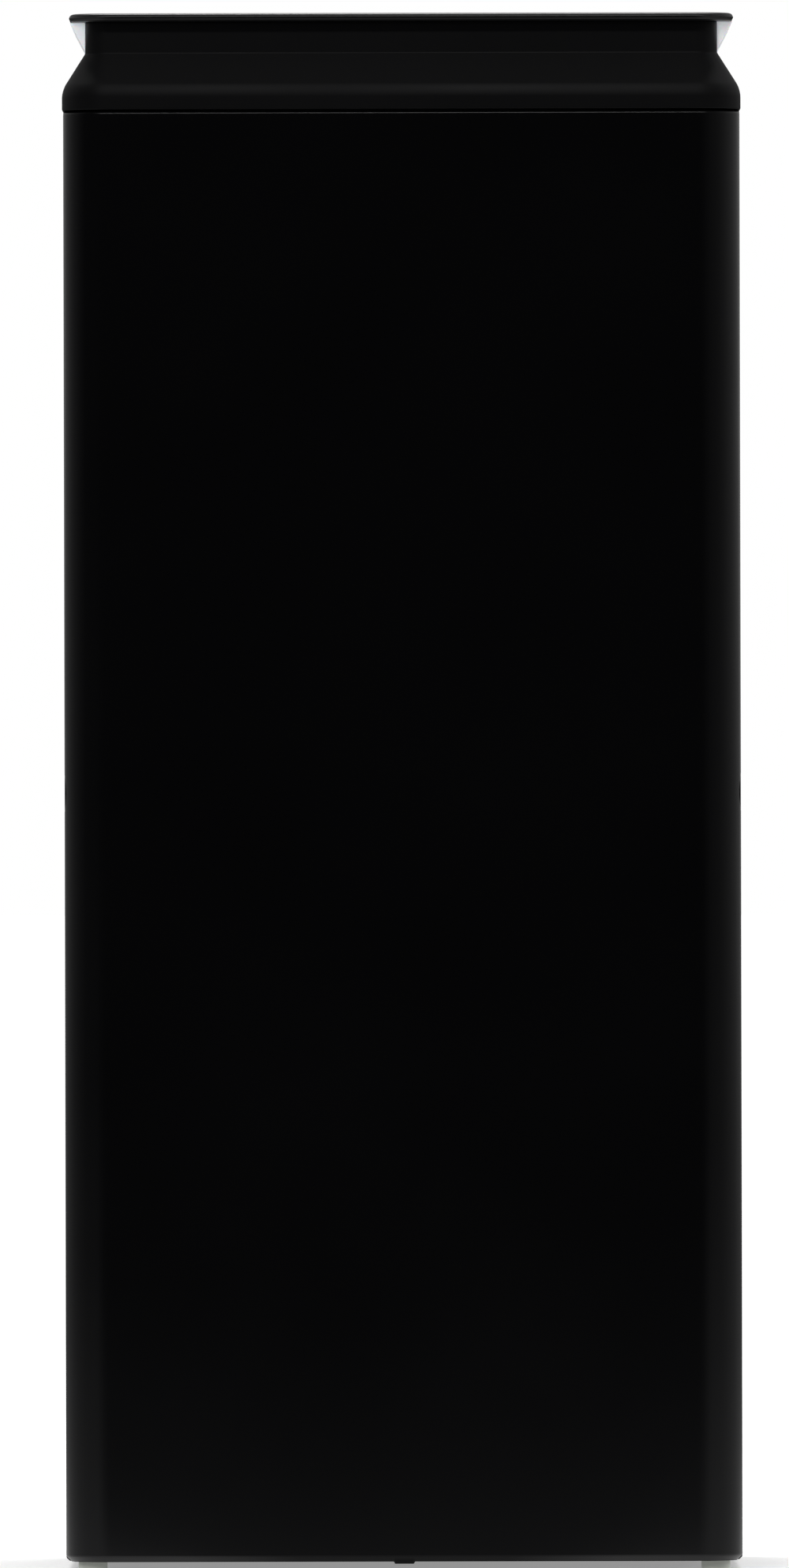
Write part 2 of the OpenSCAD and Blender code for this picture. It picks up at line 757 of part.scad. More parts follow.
// A four-sided funnel between two levels, as the meeting of two wedges. extra widens it.
module funnel(extra) {
    z0 = scroll_top + fit;
    intersection() {
        slab_y(-body_d, body_d) polygon([
            [outlet_x0 - extra, z0], [outlet_x1 + extra, z0],
            [grille_x + extra, collar_z], [-grille_x - extra, collar_z]
        ]);
        slab_x(-body_w, body_w) polygon([
            [scroll_y0 + scroll_wall - extra, z0], [scroll_y1 - scroll_wall + extra, z0],
            [grille_y1 + extra, collar_z], [grille_y0 - extra, collar_z]
        ]);
    }
}

module air_duct() {
    collar_top = plate_z - deck_t - fit;
    color(inner_grey) {
        difference() {
            union() {
                funnel(scroll_wall);
                block([-grille_x - scroll_wall, grille_y0 - scroll_wall, collar_z - 0.01],
                      [grille_x + scroll_wall, grille_y1 + scroll_wall, collar_top]);
            }
            funnel(0);
            block([-grille_x, grille_y0, collar_z - 0.02], [grille_x, grille_y1, total_h]);
        }
        difference() {
            union() {
                outlet_block(-fit, scroll_top - 6, scroll_top + fit + 1);
                outlet_block(1, scroll_top + fit, scroll_top + fit + 1);
            }
            outlet_block(-fit - 1.4, 0, total_h);
        }
    }
}

// The inside of the scroll's outlet as a block, widened by extra.
module outlet_block(extra, z0, z1) {
    block([outlet_x0 - extra, scroll_y0 + scroll_wall - extra, z0],
          [outlet_x1 + extra, scroll_y1 - scroll_wall + extra, z1]);
}

module motor_flange() {
    y0 = scroll_y1 + grommet_lip;
    color(steel) difference() {
        union() {
            fan_ring(motor_flange_r, shaft_r + 2, y0, y0 + flange_t);
            fan_ring(tube_r, shaft_r + 2, tube_y0, y0 + 1);
            for (turn = ear_turns) {
                on_ear(turn) rod_y(8, y0, y0 + flange_t);
                translate([fan_x, 0, fan_z]) rotate([0, -turn, 0])
                    block([motor_r, y0, -7], [ear_ring_r, y0 + flange_t, 7]);
            }
        }
        fan_ring(bearing_r + 0.05, shaft_r, tube_y0 - 1, tube_y0 + 1 + bearing_w);
        fan_ring(bearing_r + 0.05, shaft_r, y0 + flange_t - bearing_w - 1, y0 + flange_t + 1);
        for (turn = ear_turns) on_ear(turn) rod_y(grommet_r + 0.05, y0 - 1, y0 + flange_t + 1);
        for (turn = [60, 180, 300]) translate([fan_x, 0, fan_z]) rotate([0, -turn, 0])
            translate([36, 0, 0]) rod_y(5, y0 - 1, y0 + flange_t + 1);
    }
}

module motor_grommets() {
    y0 = scroll_y1 + grommet_lip;
    color([0.08, 0.08, 0.08]) for (turn = ear_turns) on_ear(turn) difference() {
        union() {
            rod_y(grommet_r + 2, scroll_y1, y0);
            rod_y(grommet_r, scroll_y1, y0 + flange_t + grommet_lip);
            rod_y(grommet_r + 2, y0 + flange_t, y0 + flange_t + grommet_lip);
        }
        rod_y(fan_screw_r + 0.1, scroll_y1 - 1, y0 + 20);
    }
}

// Every screw of the fan: through the grommets, round the scroll and into the bay.
module fan_screws() {
    head_y = scroll_y1 + 2 * grommet_lip + flange_t;
    color(steel) {
        for (turn = ear_turns) on_ear(turn) translate([0, head_y, 0]) rotate([90, 0, 0])
            screw(fan_screw_r, 3.8, 2.2, 12);
        for (a = lug_angles) {
            p = spiral(a, scroll_wall + 4);
            translate([p[0], scroll_mid + 4, p[1]]) rotate([90, 0, 0]) screw(fan_screw_r, 3.8, 2.2, 8);
        }
        for (p = scroll_ears)
            translate([p[0], scroll_y0 + scroll_wall, p[1]]) rotate([90, 0, 0])
                screw(fan_screw_r, 3.8, 2.2, 6);
    }
}

module stator_core() {
    color(steel) {
        fan_ring(18, tube_r + 0.05, stator_y0, stator_y1);
        for (i = [1 : pole_count]) on_pole(i) block([17, stator_y0, -2], [stator_r - 1, stator_y1, 2]);
        difference() {
            fan_ring(stator_r, stator_r - 1.8, stator_y0, stator_y1);
            for (i = [1 : pole_count]) on_pole(i + 0.5) block([10, stator_y0 - 1, -1.2],
                [motor_r, stator_y1 + 1, 1.2]);
        }
    }
}

module stator_coils() {
    color([0.7, 0.35, 0.15]) for (i = [1 : pole_count]) on_pole(i) difference() {
        block([18.3, stator_y0 - 3, -3.9], [stator_r - 2.4, stator_y1 + 3, 3.9]);
        block([17, stator_y0 - 0.1, -2.1], [stator_r, stator_y1 + 0.1, 2.1]);
    }
}

// Its children, drawn along +X, turned to pole number i of the stator.
module on_pole(i) {
    translate([fan_x, 0, fan_z]) rotate([0, i * 360 / pole_count, 0]) children();
}

module motor_bearings() {
    color(steel) for (y = [tube_y0 + 1, flange_y1 - 1 - bearing_w]) difference() {
        fan_ring(bearing_r, shaft_r + 0.05, y, y + bearing_w);
        fan_ring(bearing_r - 2, shaft_r + 2, y - 1, y + 0.5);
        fan_ring(bearing_r - 2, shaft_r + 2, y + bearing_w - 0.5, y + bearing_w + 1);
    }
}

module rotor_can() {
    color(steel) {
        fan_ring(motor_r, motor_r - can_t, can_y0, can_y1);
        fan_ring(motor_r, shaft_r + 0.05, can_y0, can_y0 + can_t);
    }
}

module rotor_magnets() {
    color([0.15, 0.15, 0.16]) difference() {
        fan_ring(motor_r - can_t, stator_r + 1, stator_y0 - 1, stator_y1 + 1);
        for (i = [1 : 2 : 7]) on_pole(i * 0.75) block([-motor_r, stator_y0 - 2, -0.4],
            [motor_r, stator_y1 + 2, 0.4]);
    }
}

module motor_shaft() {
    color(steel) {
        translate([fan_x, 0, fan_z]) rod_y(shaft_r, hub_y0 - 8, flange_y1 - 0.5);
        turned()
            polygon([[0, hub_y0 - 8.6], [shaft_r - 0.6, hub_y0 - 8.6], [shaft_r, hub_y0 - 8], [0, hub_y0 - 8]]);
    }
}

function polar(r, a) = [fan_x + r * cos(a), fan_z + r * sin(a)];

// One blade, curved forwards, in (x, z).
module blade(a) {
    reach = fan_r - 0.6 - blade_r0;
    polygon(concat(
        [for (s = [0 : 0.25 : 1]) polar(blade_r0 + reach * s, a + blade_lean * s * s)],
        [for (s = [1 : -0.25 : 0]) polar(blade_r0 + reach * s, a + blade_lean * s * s + 0.9)]
    ));
}

module impeller() {
    color([0.25, 0.26, 0.27]) {
        fan_ring(hub_r, shaft_r + 0.05, hub_y0, can_y0);
        fan_ring(hub_r, hub_r - 2.5, hub_y0, fan_y1);
        fan_ring(fan_r, hub_r - 2.5, fan_y1 - 2.5, fan_y1);
        fan_ring(fan_r, fan_r - 6, fan_y0, fan_y0 + 4);
        slab_y(fan_y0 + 1, fan_y1 - 1) for (i = [1 : blade_count]) blade(i * 360 / blade_count);
    }
}

module impeller_nut() {
    color(brass) translate([fan_x, 0, fan_z]) difference() {
        union() {
            rod_y(8, hub_y0 - 1.2, hub_y0);
            translate([0, hub_y0 - 6.2, 0]) rotate([-90, 0, 0]) cylinder(h = 5.1, r = 5.8, $fn = 6);
        }
        rod_y(shaft_r + 0.05, hub_y0 - 10, hub_y0 + 1);
    }
}

// ---------------------------------------------------------------- top

module top_cap() {
    post_y = screw_post_y;
    color(casing) difference() {
        union() {
            difference() {
                union() {
                    prism(body_w, body_d, corner_r, seam_z, slope_z);
                    taper(body_w, body_d, corner_r, neck_inset, slope_z, slope_h);
                    prism(neck_w, neck_d, neck_r, neck_z, plate_z);
                    intersection() {
                        inset_prism(side_inset + wall + fit, seam_z - tongue_h, seam_z + 1);
                        behind(flange_y + wall + 1);
                    }
                }
                inset_prism(side_inset + wall + fit + 2.2, 0, seam_z + wall);
                inset_prism(wall, seam_z + wall, slope_z);
                taper(body_w - 2 * wall, body_d - 2 * wall, corner_r - wall, neck_inset,
                    slope_z - 0.01, slope_h + 0.02);
                prism(neck_w - 2 * wall, neck_d - 2 * wall, neck_r - wall, neck_z - 0.01, plate_z - deck_t);
            }
            for (x = rear_screw_x) block([x - 7, post_y - 12, cap_screw_z - 8],
                [x + 7, post_y, seam_z + 2]);
            for (p = board_pegs) translate([p[0], p[1], board_z + board_t])
                cylinder(h = plate_z - deck_t - board_z - board_t + 0.5, r = 3);
            for (p = board_pegs) translate([p[0], p[1], board_z - 1]) cylinder(h = 4, r = 1.3);
        }
        translate([0, grille_mid, plate_z - 5]) linear_extrude(10) plan(2 * grille_x, grille_d, grille_r);
        translate([0, strip_y, plate_z - 5]) linear_extrude(10) plan(lens_w - 6, lens_d - 6, 2);
        for (x = key_x) translate([x, strip_y, plate_z - 5]) cylinder(h = 10, r = key_r + fit);
        for (x = rear_screw_x) translate([x, 0, cap_screw_z]) rod_y(screw_r + 0.1, inner_y - 16, inner_y);
        both_sides() for (y = peg_y)
            block([neck_w / 2 - 2 * wall, y - 6.2, peg_z0 - 0.2],
                [neck_w / 2 + 1, y + 6.2, peg_z0 + peg_h + 0.2]);
    }
}

// A prism that stands back from the shoulder by inset on every side.
module inset_prism(inset, z0, z1) {
    prism(body_w - 2 * inset, body_d - 2 * inset, corner_r - inset, z0, z1);
}

module top_plate() {
    nose = 1.2;
    color(casing) difference() {
        union() {
            taper(plate_w, plate_d, plate_r, nose, plate_z + nose, -nose);
            prism(plate_w, plate_d, plate_r, plate_z + nose, total_h - nose);
            prism(plate_w - 2 * nose, plate_d - 2 * nose, plate_r - nose, plate_z, total_h);
            taper(plate_w, plate_d, plate_r, nose, total_h - nose, nose);
        }
        translate([0, grille_mid, plate_z - 1]) linear_extrude(10)
            plan(2 * (grille_x + grille_ledge), grille_d + 2 * grille_ledge, grille_r + grille_ledge);
        translate([0, strip_y, plate_z - 1]) linear_extrude(10)
            plan(lens_w + 2 * fit, lens_d + 2 * fit, 4 + fit);
        for (x = key_x) translate([x, strip_y, plate_z - 1]) cylinder(h = 10, r = key_r + fit);
    }
}

module outlet_grille() {
    flange = grille_ledge - fit;
    skirt = 8;
    slat_gap = 9;
    slats = floor((grille_d - 8) / slat_gap);
    first = grille_mid - (slats - 1) * slat_gap / 2;
    z0 = plate_z - skirt + 1;
    z1 = total_h - 0.6;
    color(inner_grey) {
        difference() {
            translate([0, grille_mid, 0]) union() {
                prism(2 * (grille_x + flange), grille_d + 2 * flange, grille_r + flange,
                    plate_z, total_h - 0.3);
                prism(2 * (grille_x - fit), grille_d - 2 * fit, grille_r - fit,
                    plate_z - skirt, plate_z + 1);
            }
            translate([0, grille_mid, 0])
                prism(2 * (grille_x - 2.4), grille_d - 4.8, grille_r - 2.4, 0, total_h + 1);
        }
        for (i = [0 : slats - 1]) slab_x(-grille_x + 1.5, grille_x - 1.5)
            translate([first + i * slat_gap, 0])
            polygon([[-2.3, z0], [-0.7, z0], [2.3, z1], [0.7, z1]]);
        for (x = [-1, 0, 1] * grille_x / 2)
            block([x - 1, grille_y0 + 1.5, z0], [x + 1, grille_y1 - 1.5, z1 - 1.5]);
    }
}

// The frosted wedge under the right end of the plate, with pegs that reach the lamps inside.
module light_guide() {
    top = plate_z - 0.1;
    slab_y(-guide_len / 2, guide_len / 2)
        polygon([[neck_w / 2, top], [neck_w / 2 + guide_w, top], [neck_w / 2, top - guide_h]]);
    for (y = peg_y)
        block([neck_w / 2 - wall - 0.5, y - 6, peg_z0], [neck_w / 2 + 0.5, y + 6, peg_z0 + peg_h]);
}

module right_light_guide() {
    color([0.82, 0.83, 0.84]) light_guide();
}

module left_light_guide() {
    color([0.82, 0.83, 0.84]) mirror([1, 0, 0]) light_guide();
}

module led_strip() {
    x1 = neck_w / 2 - wall - 1.4;
    block([x1 - led_t, peg_y[0] - 12, peg_z0 - 2.5], [x1, peg_y[4] + 12, peg_z0 + peg_h + 1.5]);
    for (y = peg_y) block([x1 - 0.2, y - 2.5, peg_z0], [x1 + 0.7, y + 2.5, peg_z0 + peg_h]);
}

module right_led_strip() {
    color([0.9, 0.9, 0.85]) led_strip();
}

module left_led_strip() {
    color([0.9, 0.9, 0.85]) mirror([1, 0, 0]) led_strip();
}

// ---------------------------------------------------------------- controls

module display_lens() {
    color([0.02, 0.02, 0.03])
        translate([0, strip_y, plate_z]) linear_extrude(plate_t - 0.2) plan(lens_w, lens_d, 4);
}

module display_module() {
    top = plate_z - deck_t - 0.5;
    color([0.9, 0.9, 0.9])
        block([-24, strip_y - 5.5, board_z + board_t], [24, strip_y + 5.5, top]);
}

module control_board() {
    color([0.05, 0.25, 0.12]) difference() {
        block([-112, strip_y - 14, board_z], [112, strip_y + 14, board_z + board_t]);
        for (p = board_pegs) translate([p[0], p[1], board_z - 1]) cylinder(h = board_t + 2, r = 1.4);
    }
}

module key_switches() {
    color([0.3, 0.3, 0.3]) for (x = key_x) translate([x, strip_y, board_z + board_t]) {
        translate([-3, -3, 0]) cube([6, 6, 3.5]);
        cylinder(h = 5, r = 1.75);
    }
}

// A push key: the face, the collar that keeps it under the deck, and the stem over its switch.
module key(x) {
    under = plate_z - deck_t - fit;
    color([0.12, 0.12, 0.13]) translate([x, strip_y, 0]) {
        translate([0, 0, under - 1.2]) cylinder(h = 1.2, r = key_r + 1.4);
        translate([0, 0, under - 1.2]) cylinder(h = total_h - 0.2 - under + 1.2, r = key_r);
        translate([0, 0, switch_top + key_travel + fit])
            cylinder(h = under - 1 - switch_top - key_travel - fit, r = 2.5);
    }
}

module power_key() {
    key(key_x[0]);
}

module speed_key() {
    key(key_x[1]);
}

module mode_key() {
    key(key_x[2]);
}

module timer_key() {
    key(key_x[3]);
}

// ---------------------------------------------------------------- electrics

function board_x(side) = side * (board_w / 2 - 6);
function board_hole_z(row) = board_z0 + 6 + row * (board_h - 12);

module power_board() {
    color([0.05, 0.25, 0.12]) difference() {
        block([-board_w / 2, board_y, board_z0], [board_w / 2, board_y + board_t, board_z0 + board_h]);
        for (x = [-1, 1], row = [0, 1])
            translate([board_x(x), 0, board_hole_z(row)]) rod_y(1.8, board_y - 1, board_y + board_t + 1);
    }
}

module board_standoffs() {
    color([0.85, 0.85, 0.8]) for (x = [-1, 1], row = [0, 1]) translate([board_x(x), 0, board_hole_z(row)]) {
        rod_y(1.5, board_y - 9, board_y + board_t + 1);
        rod_y(4, board_y - 6, board_y);
        rod_y(3, board_y + board_t, board_y + board_t + 1.5);
    }
}

module transformer() {
    y0 = board_y + board_t;
    color([0.75, 0.65, 0.2]) translate([-30, y0, board_z0 + 26]) {
        block([-16, 0, -14], [16, 3, 14]);
        block([-11, 2.9, -13], [11, 22, 13]);
        block([-16, 6, -6], [16, 20, 6]);
    }
}

module capacitors() {
    y0 = board_y + board_t;
    color([0.1, 0.12, 0.3]) for (p = [[10, 24, 9], [32, 24, 9], [10, 52, 6], [26, 54, 6]])
        translate([p[0], 0, board_z0 + p[1]]) rod_y(p[2], y0, y0 + 2.6 * p[2]);
}

module heat_sink() {
    y0 = board_y + board_t;
    color([0.7, 0.71, 0.72]) translate([-48, y0, board_z0 + 52]) {
        block([0, 0, 0], [44, 3, 30]);
        for (i = [0 : 7]) block([i * 6, 0, 0], [i * 6 + 1.6, 22, 30]);
    }
}

// ---------------------------------------------------------------- front cover

// The outside of the cover as a closed block, before it is hollowed.
module cover_form() {
    head = 0.8;
    intersection() {
        union() {
            taper(case_w, case_d, case_r, foot_inset, base_z + foot_inset, -foot_inset);
            prism(case_w, case_d, case_r, base_z + foot_inset, case_top - head);
            taper(case_w, case_d, case_r, head, case_top - head, head);
        }
        before(case_front_y + cover_wrap);
    }
}

module front_cover() {
    in_y = case_front_y + cover_t;
    post_end = flange_y - 0.4;
    flat_x = case_w / 2 - case_r;
    color(casing) difference() {
        union() {
            difference() {
                cover_form();
                prism(2 * (case_w / 2 - cover_t), case_d - 2 * cover_t, case_r - cover_t, 0, total_h);
            }
            for (i = [1 : 6]) {
                z = base_rim_z + (case_top - base_rim_z) * i / 7;
                block([-flat_x, in_y - 0.5, z - 0.8], [flat_x, in_y + 5, z + 0.8]);
            }
            for (x = [-60, 60]) block([x - 0.8, in_y - 0.5, base_rim_z + 20],
                [x + 0.8, in_y + 5, case_top - 20]);
            intersection() {
                cover_form();
                both_sides() for (z = magnet_z)
                    translate([post_x, 0, z]) rod_y(magnet_r + 2.5, in_y - 2, post_end);
            }
            intersection() {
                union() {
                    cover_form();
                    behind(case_front_y + cover_wrap - 1);
                }
                both_sides() for (z = pin_z) translate([post_x, 0, z]) {
                    rod_y(cover_pin_r + 2, in_y - 2, post_end);
                    rod_y(cover_pin_r, in_y, flange_y + wall + 6);
                }
            }
            block([-tab_w / 2, in_y - 1.6, base_z - 1], [tab_w / 2, in_y, base_z + 4]);
            intersection() {
                cover_form();
                finger_pocket(notch_r + pocket_wall, pocket_depth + pocket_wall);
            }
        }
        both_sides() for (z = magnet_z)
            translate([post_x, 0, z]) rod_y(magnet_r + 0.1, post_end - magnet_t, post_end + 1);
        finger_pocket(notch_r, pocket_depth);
    }
}

// A round plug in both side edges of the cover, from the given depth outwards.
module finger_pocket(r, depth) {
    both_sides() translate([case_w / 2 - depth, case_front_y + cover_wrap, notch_z]) rotate([0, 90, 0])
        cylinder(h = depth + 1, r = r);
}

module cover_magnets() {
    post_end = flange_y - 0.4;
    color(steel) both_sides() for (z = magnet_z)
        translate([post_x, 0, z]) rod_y(magnet_r, post_end - magnet_t, post_end);
}

// ---------------------------------------------------------------- leads

// A point on the smooth curve through p, at t between p[i] and p[i + 1].
function between(p, i, t) =
    let (a = p[max(i - 1, 0)], b = p[i], c = p[i + 1], d = p[min(i + 2, len(p) - 1)])
    0.5 * (2 * b + (c - a) * t + (2 * a - 5 * b + 4 * c - d) * t * t + (3 * b - a - 3 * c + d) * t * t * t);

// A round lead of radius r through the points p, as one closed skin of rings.
module lead(p, r) {
    sides = 8;
    path = concat([for (i = [0 : len(p) - 2], t = [0 : 0.2 : 0.8]) between(p, i, t)], [p[len(p) - 1]]);
    last = len(path) - 1;
    rings = [
        for (i = [0 : last])
            let (
                along = i == 0 ? p[1] - p[0]
                    : i == last ? p[len(p) - 1] - p[len(p) - 2]
                    : path[i + 1] - path[i - 1],
                u = cross(along, [1, 0.2, 0.1]) / norm(cross(along, [1, 0.2, 0.1])),
                v = cross(along, u) / norm(along)
            )
            for (k = [0 : sides - 1]) path[i] + r * (u * cos(k * 360 / sides) + v * sin(k * 360 / sides))
    ];
    skin = [
        for (i = [0 : last - 1], k = [0 : sides - 1])
            let (n = (k + 1) % sides)
            each [
                [i * sides + k, i * sides + n, (i + 1) * sides + n],
                [i * sides + k, (i + 1) * sides + n, (i + 1) * sides + k]
            ]
    ];
    ends = [
        [for (k = [sides - 1 : -1 : 0]) k],
        [for (k = [0 : sides - 1]) last * sides + k]
    ];
    polyhedron(rings, concat(skin, ends));
}

module motor_lead() {
    color([0.1, 0.1, 0.1]) lead([
        [60, board_y + board_t + 0.3, board_z0 + 80],
        [60, board_y + board_t + 10, board_z0 + 80],
        [60, board_y + 25, board_z0 + 82],
        [60, board_y + 50, board_z0 + 100],
        [50, scroll_y1 + 18, board_z0 + 130],
        [30, scroll_y1 + 18, fan_z - 90],
        [fan_x + 30, scroll_y1 + 15, fan_z - 40],
        [fan_x + 26, flange_y1 + 8, fan_z - 24],
        [fan_x + 26, flange_y1 + 0.3, fan_z - 24]
    ], 2);
}

module control_lead() {
    side = -inner_x + 6;
    color([0.1, 0.1, 0.1]) lead([
        [-58, board_y + board_t + 0.3, board_z0 + 86],
        [-58, board_y + board_t + 10, board_z0 + 86],
        [-60, board_y + 20, board_z0 + 88],
        [-90, 10, board_z0 + 110],
        [side + 14, 20, board_z0 + 140],
        [side, 20, board_z0 + 190],
        [side, 20, fan_z],
        [side, 20, seam_z - 60],
        [-neck_w / 2 + 12, 0, seam_z],
        [-neck_w / 2 + 13, strip_y + 30, board_z - 16],
        [-100, strip_y + 8, board_z - 12],
        [-96, strip_y, board_z - 6],
        [-96, strip_y, board_z - 0.3]
    ], 1.8);
}

base_tray();
feet();
base_screws();
cord_clip();
rear_shell();
rear_screws();
left_intake_grille();
right_intake_grille();
filter_bay();
strikers();
fan_guard();
scroll_front();
scroll_rear();
air_duct();
motor_flange();
motor_grommets();
fan_screws();
stator_core();
stator_coils();
motor_bearings();
rotor_can();
rotor_magnets();
motor_shaft();
impeller();
impeller_nut();
top_cap();
top_plate();
outlet_grille();
left_light_guide();
right_light_guide();
left_led_strip();
right_led_strip();
display_lens();
display_module();
control_board();
key_switches();
power_key();
speed_key();
mode_key();
timer_key();
power_board();
board_standoffs();
transformer();
capacitors();
heat_sink();
power_inlet();
inlet_pins();
dust_sensor();
sensor_hatch();
rating_plate();
motor_lead();
control_lead();
front_cover();
cover_magnets();
screen_frame();
screen_mesh();
hepa_frame();
hepa_media();
carbon_frame();
carbon_core();
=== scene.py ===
# %% [markdown]
# # A tower air purifier
# This notebook dresses a finished engineering model of an air purifier. Every part arrives at its true
# size and place, so nothing here is moved or resized. Each step gives a part its finish, or swaps a
# plain part for a detailed one of the same size: louvres, pleats, weave, screws.

# %% Load the model
import json
import math

import bmesh
import bpy
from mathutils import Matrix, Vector


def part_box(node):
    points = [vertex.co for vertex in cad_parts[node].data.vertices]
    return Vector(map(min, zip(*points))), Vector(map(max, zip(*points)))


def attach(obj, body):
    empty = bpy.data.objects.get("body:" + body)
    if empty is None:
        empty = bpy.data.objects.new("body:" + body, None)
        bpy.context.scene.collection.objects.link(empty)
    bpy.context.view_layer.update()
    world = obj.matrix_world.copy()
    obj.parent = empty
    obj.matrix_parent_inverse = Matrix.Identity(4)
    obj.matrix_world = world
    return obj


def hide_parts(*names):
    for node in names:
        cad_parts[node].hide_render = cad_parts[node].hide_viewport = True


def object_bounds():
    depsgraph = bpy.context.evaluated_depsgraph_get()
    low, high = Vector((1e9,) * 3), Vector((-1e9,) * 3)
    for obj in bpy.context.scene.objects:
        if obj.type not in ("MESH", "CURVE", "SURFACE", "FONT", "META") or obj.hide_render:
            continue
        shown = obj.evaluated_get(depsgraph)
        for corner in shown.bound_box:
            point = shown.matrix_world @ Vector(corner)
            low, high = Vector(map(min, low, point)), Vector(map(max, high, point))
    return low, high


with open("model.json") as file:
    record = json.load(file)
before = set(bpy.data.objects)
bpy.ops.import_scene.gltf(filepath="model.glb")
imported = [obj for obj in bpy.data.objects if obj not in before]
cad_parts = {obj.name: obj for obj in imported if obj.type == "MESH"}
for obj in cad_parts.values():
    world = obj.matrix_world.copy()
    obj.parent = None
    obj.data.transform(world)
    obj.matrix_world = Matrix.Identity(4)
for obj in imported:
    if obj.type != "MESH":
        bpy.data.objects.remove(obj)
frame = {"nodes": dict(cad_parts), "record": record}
cad_box = [list(corner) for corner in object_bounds()]
nodes = frame["nodes"]
record = frame["record"]
body_of = {node: body for body, held in record["behaviour"]["bodies"].items() for node in held}
slot_of = {part["node"]: part["material_slot"] for part in record["subparts"]}
MM = 0.001
print(len(nodes), "parts,", len(set(body_of.values())), "bodies, box", cad_box)

# %% [markdown]
# ## Camera
# Tall boxes are pictured from far off with a long lens, because a short lens would make the nearest
# face look swollen. Twelve metres keeps the sides parallel. The lens is worked out so that the
# purifier nearly fills the picture. A camera is never quite level: this one leans by an eighth of a
# degree.

# %% Camera
CAMERA_AWAY = 12.0
VIEW_HEIGHT = 0.7034            # what the picture takes in, from top to bottom, at the front cover
AIM = Vector((-0.0037, cad_box[0][1], 0.3539))
LEAN = math.radians(0.13)
camera = bpy.data.objects.new("camera", bpy.data.cameras.new("camera"))
bpy.context.scene.collection.objects.link(camera)
camera.location = AIM + Vector((0, -CAMERA_AWAY, 0))
camera.rotation_euler = (math.radians(90), LEAN, 0)
camera.data.lens = camera.data.sensor_width * CAMERA_AWAY / VIEW_HEIGHT
camera.data.clip_end = 200
bpy.context.scene.camera = camera
bpy.context.scene.view_settings.view_transform = "Standard"
print("lens", round(camera.data.lens, 1), "mm")

# %% [markdown]
# ## Node trees
# Finishes and repeated parts are both made from trees of nodes. A tree is easier to read in a script
# when each node is added in one line, so this helper takes the node's kind, what goes into its
# sockets, and its options. A socket may hold a number, or the output of another node.

# %% Adding a node
def add(tree, kind, plugs=None, **options):
    """Adds a node, sets its options, and fills its sockets with numbers or with other sockets."""
    made = tree.nodes.new(kind)
    for option, value in options.items():
        setattr(made, option, value)
    for plug, value in (plugs or {}).items():
        if isinstance(value, bpy.types.NodeSocket):
            tree.links.new(value, made.inputs[plug])
        else:
            made.inputs[plug].default_value = value
    return made


# %% [markdown]
# ## Studio lights
# A black object is drawn by what it mirrors, so each soft box has one job. The two strips show as
# reflections: one above and behind for the bevel of the top plate, one high in front for the fine
# line along the cover's upper edge. The fills are hidden from reflections, and only light the feet,
# the filters and the floor. The flat front mirrors neither, and so it stays black.

# %% Studio lights
SOFT_BOXES = {                  # place, width and height, power in watts, and whether mirrors show it
    "rear_strip": ((0.0, 0.9, 3.2), (2.4, 1.0), 80, True),
    "front_strip": ((0.0, -4.2, 3.9), (5.0, 0.5), 40, True),
    "left_fill": ((-3.0, 1.6, 1.5), (1.2, 2.6), 45, False),
    "right_fill": ((3.2, 0.9, 1.4), (1.4, 2.6), 60, False),
    "front_fill": ((-1.2, -3.8, 1.4), (1.8, 1.8), 80, False),
}
for name, (place, size, power, mirrored) in SOFT_BOXES.items():
    box = bpy.data.objects.new(name, bpy.data.lights.new(name, "AREA"))
    box.data.shape = "RECTANGLE"
    box.data.size, box.data.size_y = size
    box.data.energy = power
    box.visible_glossy = mirrored
    box.location = place
    box.rotation_euler = (Vector((0, 0, 0.35)) - Vector(place)).to_track_quat("-Z", "Y").to_euler()
    bpy.context.scene.collection.objects.link(box)
print(len(SOFT_BOXES), "soft boxes")

# %% [markdown]
# ## Room
# The room has to be white behind the purifier, yet dark where the front mirrors it. A Light Path node
# tells the two apart: rays from the lens see white, and every other ray sees a room that is nearly
# black in front and brightens towards the back and the right. That gradient is what makes the
# upright edges grow lighter towards the outline.

# %% Room
ROOM_FRONT, ROOM_BACK, ROOM_RIGHT = 0.012, 0.42, 0.16


def by_ray(tree, seen, mirrored, end):
    """Shows one shader to the lens and another to everything that mirrors or is lit."""
    ray = add(tree, "ShaderNodeLightPath").outputs["Is Camera Ray"]
    mix = add(tree, "ShaderNodeMixShader", {0: ray, 1: mirrored, 2: seen})
    tree.links.new(mix.outputs[0], end.inputs["Surface"])


def ramp(tree, value, start, end, low, high):
    """Runs from low to high while a value runs from start to end."""
    return add(tree, "ShaderNodeMapRange", {0: value, 1: start, 2: end, 3: low, 4: high}).outputs[0]


world = bpy.data.worlds.new("studio")
bpy.context.scene.world = world
world.use_nodes = True
tree = world.node_tree
way = add(tree, "ShaderNodeSeparateXYZ", {0: add(tree, "ShaderNodeTexCoord").outputs["Generated"]})
behind = ramp(tree, way.outputs["Y"], -0.45, 1.0, ROOM_FRONT, ROOM_BACK)
right = ramp(tree, way.outputs["X"], 0.3, 1.0, 0.0, ROOM_RIGHT)
level = add(tree, "ShaderNodeMath", {0: behind, 1: right}).outputs[0]
white = add(tree, "ShaderNodeBackground", {"Color": (1, 1, 1, 1)}).outputs[0]
dim = add(tree, "ShaderNodeBackground", {"Strength": level}).outputs[0]
by_ray(tree, white, dim, tree.nodes["World Output"])

